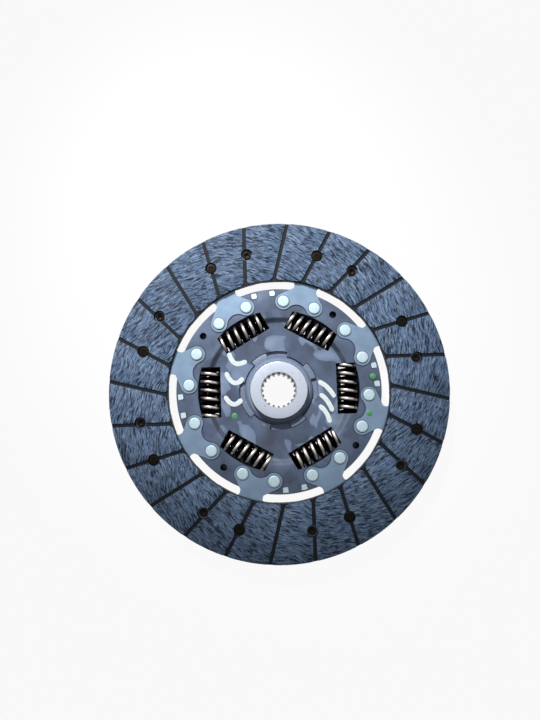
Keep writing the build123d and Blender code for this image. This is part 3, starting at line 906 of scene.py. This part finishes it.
# ---------------------------------------------------------------- operators
class CLUTCH_OT_friction_rings(bpy.types.Operator):
    """Build both friction rings, with grooves between the pads and pockets for the rivets"""

    bl_idname = "clutch.friction_rings"
    bl_label = "Friction rings"

    def execute(self, context):
        sizes = settings().lining
        inner, outer = radii("front_lining")
        bottom, top = levels("front_lining")
        thickness = top - bottom
        base = thickness - sizes.groove_depth
        sunk = mm(0.3)  # the pads start inside the ring below them
        pad = bmesh.new()
        ends = []
        for radius, steps in ((inner, 4), (outer, 5)):
            start = asin((sizes.groove_offset + sizes.groove_width / 2) / radius)
            end = asin((sizes.groove_offset - sizes.groove_width / 2) / radius)
            first = pad.verts.new((radius * cos(start), radius * sin(start), base - sunk))
            arc = bmesh.ops.spin(
                pad, geom=[first], steps=steps, angle=FULL_TURN / sizes.pads + end - start,
                **ABOUT_Z,
            )
            ends.append((first, points(arc["geom_last"])[0]))
        for inner_end, outer_end in zip(*ends):
            pad.edges.new((inner_end, outer_end))
        bmesh.ops.edgeloop_fill(pad, edges=pad.edges[:])
        for corners, setback in zip(ends, (sizes.inner_corner, sizes.outer_corner)):
            rounded(pad, list(corners), setback, 5, "VERTICES")
        face = raised(pad, pad.faces[:], sizes.groove_depth + sunk)
        rounded(pad, list(face[0].edges), sizes.broken_edge, 2)
        pads = repeated(moved(faced_out(pad), about_z(groove_direction())), sizes.pads)
        ring = turned(
            [(inner, 0), (outer, 0), (outer, base), (inner, base)],
            steps=round(FULL_TURN / RING_STEP),
        )
        above = thickness + OVERSHOOT
        ring = cut(
            combine(ring, pads, "UNION"),
            at_lining_rivets(drum(sizes.pocket_r, sizes.head_seat, above), 1),
            at_lining_rivets(drum(sizes.shank_r, -OVERSHOOT, above), 1),
            at_lining_rivets(drum(sizes.pocket_r, -OVERSHOOT, above), -1),
        )
        materials = (
            moulded_lining("Moulded friction lining, front", False),
            moulded_lining("Moulded friction lining, rear", True),
        )
        finish_rings(ring, "friction_ring", materials, "friction_lining", "{side}_lining")
        return {"FINISHED"}


class CLUTCH_OT_lining_rivets(bpy.types.Operator):
    """Build the hollow rivets that hold the friction rings"""

    bl_idname = "clutch.lining_rivets"
    bl_label = "Lining rivets"

    def execute(self, context):
        sizes = settings().lining
        low, high = levels("cushion_segment_1")
        seat, sheet = sizes.head_seat, high - low
        head_top, tail_end = seat + sizes.head_height, low - high - sizes.tail_height
        dimple = head_top - mm(0.45)
        rivet = turned(
            [
                (0, dimple), (mm(1.0), dimple), (mm(1.5), head_top), (sizes.head_r, head_top),
                (sizes.head_r, seat), (sizes.shank_r, seat), (sizes.shank_r, -sheet),
                (sizes.tail_r, -sheet), (sizes.tail_r, tail_end), (sizes.bore_r, tail_end),
                (sizes.bore_r, -sheet / 2), (0, 0),
            ],
            (((3,), mm(0.3)), ((8, 9), mm(0.35))), steps=32,
        )
        rivets = at_lining_rivets(rivet, 1)
        copper = plated_rivet(
            "Tarnished copper-plated steel", settings().finish.lining_rivet, 0.38, 0.9
        )
        finish_rings(rivets, "ring_rivets", (copper, copper), "lining_rivet", "lining_rivets_{side}")
        return {"FINISHED"}


class CLUTCH_OT_cushion_segments(bpy.types.Operator):
    """Build the spring-steel segments between the friction rings"""

    bl_idname = "clutch.cushion_segments"
    bl_label = "Cushion segments"

    def execute(self, context):
        sizes, layout, lining = settings().segment, settings().layout, settings().lining
        low, high = levels("cushion_segment_1")
        bottom, top = low - OVERSHOOT, high + OVERSHOOT
        inner, outer = radii("front_lining")
        reach = pi / layout.segments - sizes.gap / 2 / layout.rivet_circle_r
        paddle = sector(inner, outer - sizes.edge_inset, -reach, 2 * reach, low, high, 36)
        half = sizes.neck_width / 2
        start = radii("front_guide_plate")[1] + sizes.neck_start
        neck = block(start - OVERLAP, inner + sizes.edge_inset, -half, half, low, high)
        # rounded roots where the neck's sides meet the paddle's inner edge
        root, edge = sizes.neck_root, 2 * inner - hypot(inner, half)
        for side in (-1, 1):
            across = sorted((side * (half - OVERLAP), side * (half + root)))
            gusset = block(edge - root, edge + 2 * OVERLAP, *across, low, high)
            hollow = moved(drum(root, bottom, top), at(edge - root, side * (half + root)))
            neck = combine(neck, cut(gusset, hollow), "UNION")
        segment = combine(paddle, moved(neck, about_z(sizes.neck_shift)), "UNION")
        # the foot: two round lobes drawn together to the neck, and a hollow between them
        first_lobe = polar(layout.foot_circle_r, layout.foot_shift - layout.foot_spread / 2)
        lobes = repeated(moved(drum(sizes.lobe_r, low, high), first_lobe), 2, layout.foot_spread)
        neck_end = block(start - 2 * OVERLAP, start, -half, half, low, high)
        foot = outer_shell(together(lobes.copy(), moved(neck_end, about_z(sizes.neck_shift))))
        rivet_x = layout.foot_circle_r * cos(layout.foot_spread / 2)
        rivet_y = layout.foot_circle_r * sin(layout.foot_spread / 2)
        apart = sizes.lobe_r + sizes.scallop_r
        scallop_x = rivet_x - (apart**2 - rivet_y**2) ** 0.5
        touch_x = rivet_x + (scallop_x - rivet_x) * sizes.lobe_r / apart
        hollow = moved(drum(sizes.scallop_r, bottom, top, 64), at(scallop_x, 0))
        between = block(touch_x - 2 * sizes.lobe_r, touch_x, -rivet_y, rivet_y, bottom, top)
        foot_place = about_z(layout.foot_shift)
        foot = cut(foot, moved(hollow, foot_place), moved(between, foot_place))
        segment = combine(segment, combine(foot, lobes, "UNION"), "UNION")
        for radius, circle, middle, spread in (
            (sizes.shank_r, layout.foot_circle_r, layout.foot_shift, layout.foot_spread),
            (lining.shank_r, layout.rivet_circle_r, 0, layout.rivet_spread),
        ):
            hole = moved(drum(radius, bottom, top), polar(circle, middle - spread / 2))
            segment = cut(segment, repeated(hole, 2, spread))
        steel = rolled_steel("Cold-rolled spring steel", settings().finish.cushion, 0.42)
        finish_round(
            segment, "spring_segment", DISC, steel, "cushion_steel", "cushion_segment",
            layout.paddle_angle, layout.segments,
        )
        return {"FINISHED"}


class CLUTCH_OT_foot_rivets(bpy.types.Operator):
    """Build the rivets that hold the segments' feet to the front guide plate"""

    bl_idname = "clutch.foot_rivets"
    bl_label = "Foot rivets"

    def execute(self, context):
        sizes = settings().segment
        tail_base, head_base = levels("cushion_segment_1")
        tail_base -= settings().plate.thickness
        head_top, tail_end = head_base + sizes.head_height, tail_base - sizes.tail_height
        rivet = turned(
            [
                (0, head_top), (sizes.head_r * 0.85, head_top),
                (sizes.head_r * 0.96, head_top - mm(0.2)), (sizes.head_r, head_base + mm(0.4)),
                (sizes.head_r, head_base), (sizes.shank_r, head_base), (sizes.shank_r, tail_base),
                (sizes.tail_r, tail_base), (sizes.tail_r, tail_end), (0, tail_end),
            ],
            (((1,), mm(0.4)), ((2,), mm(0.3)), ((3,), mm(0.2)), ((8,), mm(0.6))), steps=40,
        )
        zinc = plated_rivet("Bright zinc-plated steel", settings().finish.rivet, 0.6, 0.6)
        finish(at_foot_rivets(rivet), "segment_foot_rivets", DISC, zinc, "foot_rivet", "foot_rivets")
        return {"FINISHED"}


class CLUTCH_OT_guide_plates(bpy.types.Operator):
    """Build the two pressed guide plates with their windows and holes"""

    bl_idname = "clutch.guide_plates"
    bl_label = "Guide plates"

    def execute(self, context):
        sizes, layout = settings().plate, settings().layout
        steel = phosphated_steel("Phosphated and oiled steel")
        for side in ("front", "rear"):
            node = f"{side}_guide_plate"
            inner, outer = radii(node)
            low, high = levels(node)
            bottom, top = low - OVERSHOOT, high + OVERSHOOT
            # the rim stands at one face of the plate's box, the dished middle at the other
            rim, middle = low + sizes.thickness, high
            if side == "front":
                inner, rim, middle = sizes.opening_r, high, low + sizes.thickness
            rim_back, middle_back = rim - sizes.thickness, middle - sizes.thickness
            plate = turned(
                [
                    (inner, middle), (sizes.dish_inner_r, middle), (sizes.dish_outer_r, rim),
                    (outer, rim), (outer, rim_back), (sizes.dish_outer_r, rim_back),
                    (sizes.dish_inner_r, middle_back), (inner, middle_back),
                ],
                (((0, 3, 4, 7), sizes.broken_edge), ((1, 2, 5, 6), sizes.dish_round)),
            )
            hole = tenon_pair(sizes.tenon + 2 * sizes.tenon_gap, bottom, top)
            holes = repeated(moved(hole, about_z(layout.spacer_angle)), layout.spacers)
            if side == "front":
                cutters = [at_springs(self.front_window(bottom, top)), holes]
                cutters += self.front_holes(inner, bottom, top)
            else:
                # pressed lips wrap round each spring, with a slot between them
                half_length, lip_low, lip_high = mm(15), low + mm(0.3), middle - mm(0.6)
                lips = spring_seat(sizes.window_half_width + sizes.lip, half_length)
                level_part = over_springs(mm(12), half_length + OVERSHOOT, lip_low, lip_high)
                lips = at_springs(combine(lips, level_part, "INTERSECT"))
                plate = combine(plate, lips, "UNION")
                slot = over_springs(sizes.slot_half_width, sizes.window_half_length, bottom, top)
                seats = spring_room(partial(spring_seat, sizes.window_half_width))
                cutters = [at_springs(slot), seats, holes]
            plate = cut(plate, *cutters)
            finish(plate, f"{side}_pressed_plate", DISC, steel, "phosphated_plate", node)
        return {"FINISHED"}

    def front_window(self, bottom, top):
        """A spring window whose outer side follows the plate's round rim."""
        sizes, middle = settings().plate, settings().layout.spring_circle_r
        window = block(
            middle - sizes.window_half_width, middle + 2 * sizes.window_half_width,
            -sizes.window_half_length, sizes.window_half_length, bottom, top,
        )
        outer_arc = drum(middle + sizes.window_half_width, bottom, top, 180)
        return combine(window, outer_arc, "INTERSECT")

    def front_holes(self, inner, bottom, top):
        """Notches for the bush's lugs, pilot holes, and holes for the foot rivets."""
        sizes, spacers = settings().plate, settings().layout.spacers
        notch_end = sizes.lug_angle + sizes.lug_span / 2 + sizes.lug_gap / sizes.notch_r
        notch = sector(
            inner - 4 * OVERSHOOT, sizes.notch_r, notch_end - sizes.notch_span, sizes.notch_span,
            bottom, top, 40,
        )
        place = polar(sizes.pilot_circle_r, sizes.pilot_angle)
        pilot = moved(drum(sizes.pilot_r, bottom, top), place)
        shank = drum(settings().segment.shank_r, bottom, top)
        return [repeated(notch, spacers), repeated(pilot, spacers), at_foot_rivets(shank)]


class CLUTCH_OT_stop_spacers(bpy.types.Operator):
    """Build the spacers that join the guide plates and stop the hub's twist"""

    bl_idname = "clutch.stop_spacers"
    bl_label = "Stop spacers"

    def execute(self, context):
        sizes, layout = settings().plate, settings().layout
        bright = plated_rivet("Bright upset steel", settings().finish.rivet, 0.5, 0.8)
        low, high = levels("stop_spacer_1")
        inner, half_length = radii("stop_spacer_1")[0], sizes.spacer_length / 2
        spacer = block(
            inner, inner + sizes.tenon, -half_length, half_length,
            levels("rear_guide_plate")[0] + sizes.thickness,
            levels("front_guide_plate")[1] - sizes.thickness,
        )
        rounded(spacer, spacer.edges[:], mm(0.35), 2)
        spacer = combine(spacer, tenon_pair(sizes.tenon, low, high), "UNION")
        finish_round(
            spacer, "spacer_plate", DISC, bright, "spacer_steel", "stop_spacer",
            layout.spacer_angle, layout.spacers,
        )
        return {"FINISHED"}


class CLUTCH_OT_hub(bpy.types.Operator):
    """Build the splined hub with its flange"""

    bl_idname = "clutch.hub"
    bl_label = "Splined hub"

    def execute(self, context):
        sizes, layout, plate = settings().hub, settings().layout, settings().plate
        low, high = levels("hub")
        outer = radii("hub")[1]
        flange_high = levels("front_friction_washer")[0]
        flange_low = levels("rear_friction_washer")[1]
        chamfer, lead = sizes.face_chamfer, sizes.lead_r - sizes.bore_r
        hub = turned(
            [
                (sizes.lead_r, high), (sizes.front_journal_r - chamfer, high),
                (sizes.front_journal_r, high - chamfer), (sizes.front_journal_r, flange_high),
                (outer, flange_high), (outer, flange_low), (sizes.rear_journal_r, flange_low),
                (sizes.rear_journal_r, low + chamfer), (sizes.rear_journal_r - chamfer, low),
                (sizes.lead_r, low), (sizes.bore_r, low + lead), (sizes.bore_r, high - lead),
            ],
            (((1, 2, 7, 8), mm(0.15)), ((3, 6), mm(0.4)), ((4, 5), mm(0.3))), steps=240,
        )
        teeth = repeated(self.tooth(low, high), sizes.teeth)
        bottom, top = flange_low - OVERSHOOT, flange_high + OVERSHOOT

        def window(half_length):
            half_width = plate.window_half_width + sizes.flange_window_gap
            room = over_springs(half_width, half_length, bottom, top)
            return rounded(room, upright(room), mm(0.8))

        notch = sector(
            radii("stop_spacer_1")[0] - sizes.stop_gap, outer + 2 * OVERSHOOT,
            layout.spacer_angle - sizes.stop_reach, 2 * sizes.stop_reach, bottom, top,
        )
        notches = repeated(notch, layout.spacers)
        hub = cut(combine(hub, teeth, "UNION"), spring_room(window), notches)
        finish(hub, "splined_hub", HUB, turned_steel("Fine-turned steel"), "hub_steel", "hub")
        return {"FINISHED"}

    def tooth(self, low, high):
        """A spline tooth on Y, with both ends cut back to the flared mouths."""
        sizes = settings().hub
        tip, root, seat_r = sizes.tooth_tip / 2, sizes.tooth_root / 2, sizes.bore_r + OVERLAP
        tooth = bmesh.new()
        outline = ((sizes.tooth_tip_r, -tip), (seat_r, -root), (seat_r, root), (sizes.tooth_tip_r, tip))
        foot = tooth.faces.new([tooth.verts.new((x, y, low)) for x, y in outline])
        raised(tooth, [foot], high - low)
        faced_out(tooth)
        for level, facing in ((high, 1), (low, -1)):
            trim(tooth, (sizes.lead_r, 0, level), (-1, 0, facing))
        tips = [e for e in upright(tooth, mm(9)) if min(v.co.x for v in e.verts) < sizes.bore_r]
        rounded(tooth, tips, mm(0.15), 2)
        return moved(faced_out(tooth), about_z(FULL_TURN / 4))


class CLUTCH_OT_damper_springs(bpy.types.Operator):
    """Build the six coil springs, ground flat at both ends"""

    bl_idname = "clutch.damper_springs"
    bl_label = "Damper springs"

    def execute(self, context):
        sizes, layout = settings().hub, settings().layout
        wire_sides, steps_a_turn = 18, 36
        low, high = levels("damper_spring_1")
        axis = Vector((layout.spring_circle_r, 0, (low + high) / 2))
        coil_r, wire_r = (sizes.spring_d - sizes.wire_d) / 2, sizes.wire_d / 2
        turns = round(sizes.spring_length / sizes.pitch + 1)
        climb = atan2(sizes.pitch / FULL_TURN, coil_r)
        start = at(axis.x + coil_r, turns * sizes.pitch / 2, axis.z)
        spring = bmesh.new()
        bmesh.ops.create_circle(
            spring, cap_ends=True, radius=wire_r, segments=wire_sides,
            matrix=start @ Matrix.Rotation(-climb, 4, "X"),
        )
        bmesh.ops.spin(
            spring, geom=everything(spring), cent=axis, axis=(0, 1, 0), angle=FULL_TURN * turns,
            steps=steps_a_turn * turns, dvec=(0, -sizes.pitch / steps_a_turn, 0),
        )
        for end in (-1, 1):
            trim(spring, (0, end * sizes.spring_length / 2, 0), (0, end, 0))
        bmesh.ops.remove_doubles(spring, verts=spring.verts, dist=SAME_PLACE)
        faced_out(spring)
        # 1 on the outside of a turn and -1 on its inside, for the painted highlight along the outside
        outwards = spring.verts.layers.float.new("outwards")
        for vertex in spring.verts:
            apart = hypot(vertex.co.x - axis.x, vertex.co.z - axis.z)
            vertex[outwards] = (apart - coil_r) / wire_r
        wire = black_oxide_wire("Oiled black-oxide spring wire")
        # each spring gets a mesh of its own
        for piece, direction in finish_round(
            spring, "coil_spring", SPRINGS, wire, "black_spring", "damper_spring",
            layout.spring_angle, layout.springs,
        ):
            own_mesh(piece)
        return {"FINISHED"}


class CLUTCH_OT_bushes_and_washers(bpy.types.Operator):
    """Build the hub's bushes, the friction washers and the disc spring"""

    bl_idname = "clutch.bushes_and_washers"
    bl_label = "Bushes and washers"

    def execute(self, context):
        sizes, plate, shades = settings().hub, settings().plate, settings().finish
        nylon = moulded_nylon("Glass-filled nylon", shades.bush, 0.45)
        low, high = levels("front_bush")
        bore, flange = sizes.front_journal_r + sizes.journal_gap, sizes.bush_flange_r
        dish_back = levels("front_guide_plate")[0]
        dish_front = dish_back + plate.thickness
        collar_top = bore + sizes.collar_land
        collar_base = collar_top + sizes.collar_flank
        bush = turned(
            [
                (bore, low), (flange, low), (flange, dish_back), (collar_base, dish_back),
                (collar_base, dish_front), (collar_top, high), (bore, high),
            ],
            (((1, 2), mm(0.2)), ((4,), mm(0.3)), ((5, 6), mm(0.25))),
        )
        lug = sector(
            bore + mm(2), plate.notch_r - plate.lug_gap, plate.lug_angle - plate.lug_span / 2,
            plate.lug_span, dish_back - mm(0.2), dish_front, 20,
        )
        rounded(lug, [e for e in lug.edges if e.calc_face_angle(0) > radians(50)], mm(0.25), 2)
        bush = combine(bush, repeated(lug, settings().layout.spacers), "UNION")
        finish(bush, "front_flanged_bush", DISC, nylon, "bush_plastic", "front_bush")
        low, high = levels("rear_bush")
        bore, lip = sizes.rear_journal_r + sizes.journal_gap, radii("rear_bush")[1]
        wall = radii("rear_guide_plate")[0] - mm(0.1)
        seat = levels("rear_guide_plate")[1] - plate.thickness
        rear_bush = turned(
            [(bore, low), (lip, low), (lip, seat), (wall, seat), (wall, high), (bore, high)],
            (((0, 1, 2), mm(0.3)),),
        )
        finish(rear_bush, "rear_flanged_bush", DISC, nylon, "bush_plastic", "rear_bush")
        friction = moulded_nylon("Friction washer compound", shades.washer, 0.6)
        blued = rolled_steel("Blued spring steel", shades.blued, 0.35)
        for name, node, material, slot in (
            ("front_ring_washer", "front_friction_washer", friction, "washer_plastic"),
            ("rear_ring_washer", "rear_friction_washer", friction, "washer_plastic"),
            ("pressed_disc_spring", "disc_spring", blued, "spring_steel"),
        ):
            low, high = levels(node)
            inner, outer = radii(node)
            washer = turned(
                [(inner, low), (outer, low), (outer, high), (inner, high)],
                (((0, 1, 2, 3), mm(0.15)),),
            )
            finish(washer, name, DISC, material, slot, node)
        return {"FINISHED"}


class CLUTCH_OT_paint_marks(bpy.types.Operator):
    """Paint inspection dashes and dots on the front guide plate"""

    bl_idname = "clutch.paint_marks"
    bl_label = "Paint marks"

    def execute(self, context):
        shades = settings().finish
        plate_top = levels("front_guide_plate")[0] + settings().plate.thickness
        segment_top = levels("cushion_segment_1")[1]
        pen_width, dot_r, dot_top_r, dot_thickness = mm(3.8), mm(2.15), mm(1.9), mm(0.12)
        # curved dashes: the two ends and the two pulls of each Bezier, in millimetres
        dashes = bmesh.new()
        for controls in (
            ((-36, 27), (-33, 17), (-29, 18), (-23, 21)),
            ((-38, 13), (-34, 4), (-30, 3), (-25.5, 9)),
            ((-38.5, -4), (-35, -11), (-30, -12), (-26.5, -6)),
            ((28, 6), (31, 6), (36, 2), (40, -5)),
            ((29, -3), (33, -4), (36, -9), (38.5, -15)),
            ((28.5, -11), (32, -12), (35, -17), (36.5, -23)),
        ):
            dashes = together(dashes, self.pen_stroke(controls, pen_width, plate_top))
        dots = bmesh.new()
        for x, y, level in (
            (-31.5, -18.3, plate_top), (66.8, 9.9, segment_top), (63.9, -16.2, segment_top),
        ):
            bmesh.ops.create_cone(
                dots, cap_ends=True, segments=24, radius1=dot_r, radius2=dot_top_r,
                depth=dot_thickness, matrix=at(mm(x), mm(y), level + mm(0.05)),
            )
        white = marker_paint("White paint pen", shades.white_paint)
        green = marker_paint("Green paint pen", shades.green_paint)
        finish(dashes, "white_paint_dashes", DISC, white, "phosphated_plate")
        finish(dots, "green_paint_dots", DISC, green, "phosphated_plate")
        return {"FINISHED"}

    def pen_stroke(self, controls, width, level):
        """A paint pen's stroke along a Bezier curve: crowned, with round ends."""
        steps, film, sunk, blunt = 28, mm(0.09), mm(0.02), 0.05
        path = interpolate_bezier(*[Vector((mm(x), mm(y), 0)) for x, y in controls], steps + 1)
        lengths = [0.0]
        for near, far in zip(path, path[1:]):
            lengths.append(lengths[-1] + (far - near).length)
        stroke = bmesh.new()
        bmesh.ops.create_grid(stroke, x_segments=steps, y_segments=6, size=1.0)
        for vertex in stroke.verts:
            place, across = round((vertex.co.x + 1) / 2 * steps), vertex.co.y
            ahead = path[min(place + 1, steps)] - path[max(place - 1, 0)]
            side = Vector((-ahead.y, ahead.x, 0)).normalized()
            from_end = min(lengths[place], lengths[-1] - lengths[place])
            short = max(0.0, 1 - from_end / (width / 2))
            half = width / 2 * max(blunt, 1 - short**2) ** 0.5
            vertex.co = path[place] + side * half * across
            vertex.co.z = level + film * (1 - across**2) - sunk
        under = bmesh.ops.extrude_face_region(stroke, geom=stroke.faces[:])["geom"]
        for vertex in points(under):
            vertex.co.z = level - 2 * sunk
        return faced_out(stroke)


class CLUTCH_OT_stage(bpy.types.Operator):
    """Set up the floor, the lamps, the world and the camera"""

    bl_idname = "clutch.stage"
    bl_label = "Stage"

    def execute(self, context):
        scene, sizes = context.scene, settings().stage
        floor = bmesh.new()
        ground = at(0, 0, levels("hub")[0] - sizes.floor_gap)
        bmesh.ops.create_grid(floor, x_segments=1, y_segments=1, size=sizes.floor_size, matrix=ground)
        mesh = bpy.data.meshes.new("floor")
        floor.to_mesh(mesh)
        floor.free()
        mesh.materials.append(self.white_card())
        scene.world = self.soft_studio()
        lamp = bpy.data.lights.new("key", "SPOT")
        lamp.energy, lamp.shadow_soft_size = sizes.key_power, sizes.key_size
        lamp.spot_size, lamp.spot_blend = sizes.key_cone, sizes.key_blend
        camera = bpy.data.cameras.new("camera")
        camera.sensor_width = 36
        camera.lens = camera.sensor_width * sizes.focal / FRAME_PIXELS[1]
        camera.clip_start = 0.01
        # the key lamp is focused on the disc's far side and fades towards the near one
        key_place = Vector(sizes.key_place)
        key_turn = (key_place - Vector(sizes.key_aim)).to_track_quat("Z", "Y").to_matrix()
        turn = Matrix.Rotation(-sizes.tilt_x, 3, "X") @ Matrix.Rotation(-sizes.tilt_y, 3, "Y")
        across = (sizes.centre_u - FRAME_PIXELS[0] / 2) / sizes.focal
        down = (sizes.centre_v - FRAME_PIXELS[1] / 2) / sizes.focal
        middle = Vector((0, 0, levels("front_lining")[1]))
        view = turn @ (Vector((across, -down, -1)) * sizes.distance)
        for name, data, place in (
            ("floor", mesh, Matrix()),
            ("key", lamp, Matrix.Translation(key_place) @ key_turn.to_4x4()),
            ("camera", camera, Matrix.Translation(middle - view) @ turn.to_4x4()),
        ):
            item = bpy.data.objects.new(name, data)
            item.matrix_world = place
            scene.collection.objects.link(item)
        scene.camera = scene.objects["camera"]
        scene.view_settings.view_transform = "Standard"
        return {"FINISHED"}

    def white_card(self):
        """Pale matt card that keeps the shadow but shows nearly white to the camera."""
        material, add, shader, place = new_material("White card")
        paper = add("TexNoise", {"Vector": place, "Scale": per(mm(2)), "Detail": 2.0})
        plug(shader, {
            "Normal": add("Bump", {"Strength": 0.05, "Distance": mm(0.05), "Height": paper}),
            "Base Color": linear("#F4F6F8"), "Roughness": 0.9,
        })
        rays = add("LightPath").outputs
        seen = rays["Is Camera Ray"]
        for ray in ("Is Glossy Ray", "Is Transmission Ray"):
            seen = add("Math", (seen, rays[ray]), operation="MAXIMUM")
        share = add("Math", (seen, settings().stage.floor_glow), operation="MULTIPLY")
        glow = add("Emission", {"Color": WHITE, "Strength": 1.0})
        surface = add("MixShader", (share, shader, glow))
        plug(material.node_tree.get_output_node("ALL"), {"Surface": surface})
        return material

    def soft_studio(self):
        """A white backdrop, which metal shows on the far side, with dimmer walls near by."""
        sizes = settings().stage
        world = bpy.data.worlds.new("Soft studio")
        world.use_nodes = True
        world.node_tree.nodes.clear()
        add = partial(add_node, world.node_tree)
        rays = add("LightPath").outputs
        facing = add("SeparateXYZ", (add("TexCoord").outputs["Generated"],)).outputs["Y"]
        room = add(
            "MapRange",
            {"Value": facing, "From Min": -0.3, "From Max": -0.04, "To Min": sizes.dark_walls},
        )
        mirrored = add(
            "Math", (rays["Is Glossy Ray"], rays["Is Transmission Ray"]),
            operation="MAXIMUM",
        )
        even = [sizes.sky] * 3 + [1]
        lit = add("Mix", {"Factor": mirrored, "A": even, "B": room}, data_type="RGBA")
        shown = add("Mix", {"Factor": rays["Is Camera Ray"], "A": lit, "B": WHITE}, data_type="RGBA")
        backing = add("Background", {"Color": shown, "Strength": 1.0})
        add("OutputWorld", {"Surface": backing})
        return world


class CLUTCH_PT_panel(bpy.types.Panel):
    """Steps that build the clutch disc"""

    bl_idname = "CLUTCH_PT_panel"
    bl_label = "Clutch disc"
    bl_space_type = "VIEW_3D"
    bl_region_type = "UI"
    bl_category = "Clutch disc"

    def draw(self, context):
        for operator in OPERATORS:
            self.layout.operator(operator.bl_idname)
        for group in settings().bl_rna.properties:
            if group.type == "POINTER" and group.identifier != "rna_type":
                box = self.layout.box()
                box.label(text=group.identifier.title())
                values = getattr(settings(), group.identifier)
                for value in values.bl_rna.properties:
                    if value.identifier not in ("rna_type", "name"):
                        box.prop(values, value.identifier)


GROUPS = (
    LayoutSizes, LiningSizes, SegmentSizes, PlateSizes, HubSizes, Finishes, StageSizes,
    ClutchDiscSettings,
)
OPERATORS = (
    CLUTCH_OT_stage, CLUTCH_OT_friction_rings, CLUTCH_OT_lining_rivets,
    CLUTCH_OT_cushion_segments, CLUTCH_OT_foot_rivets, CLUTCH_OT_guide_plates,
    CLUTCH_OT_stop_spacers, CLUTCH_OT_hub, CLUTCH_OT_damper_springs,
    CLUTCH_OT_bushes_and_washers, CLUTCH_OT_paint_marks,
)


def register():
    for item in (*GROUPS, *OPERATORS, CLUTCH_PT_panel):
        bpy.utils.register_class(item)
    bpy.types.Scene.clutch_disc = PointerProperty(type=ClutchDiscSettings)


def unregister():
    del bpy.types.Scene.clutch_disc
    for item in reversed((*GROUPS, *OPERATORS, CLUTCH_PT_panel)):
        bpy.utils.unregister_class(item)


def main():
    register()
    for operator in OPERATORS:
        group, name = operator.bl_idname.split(".")
        getattr(getattr(bpy.ops, group), name)()


if __name__ == "__main__":
    main()
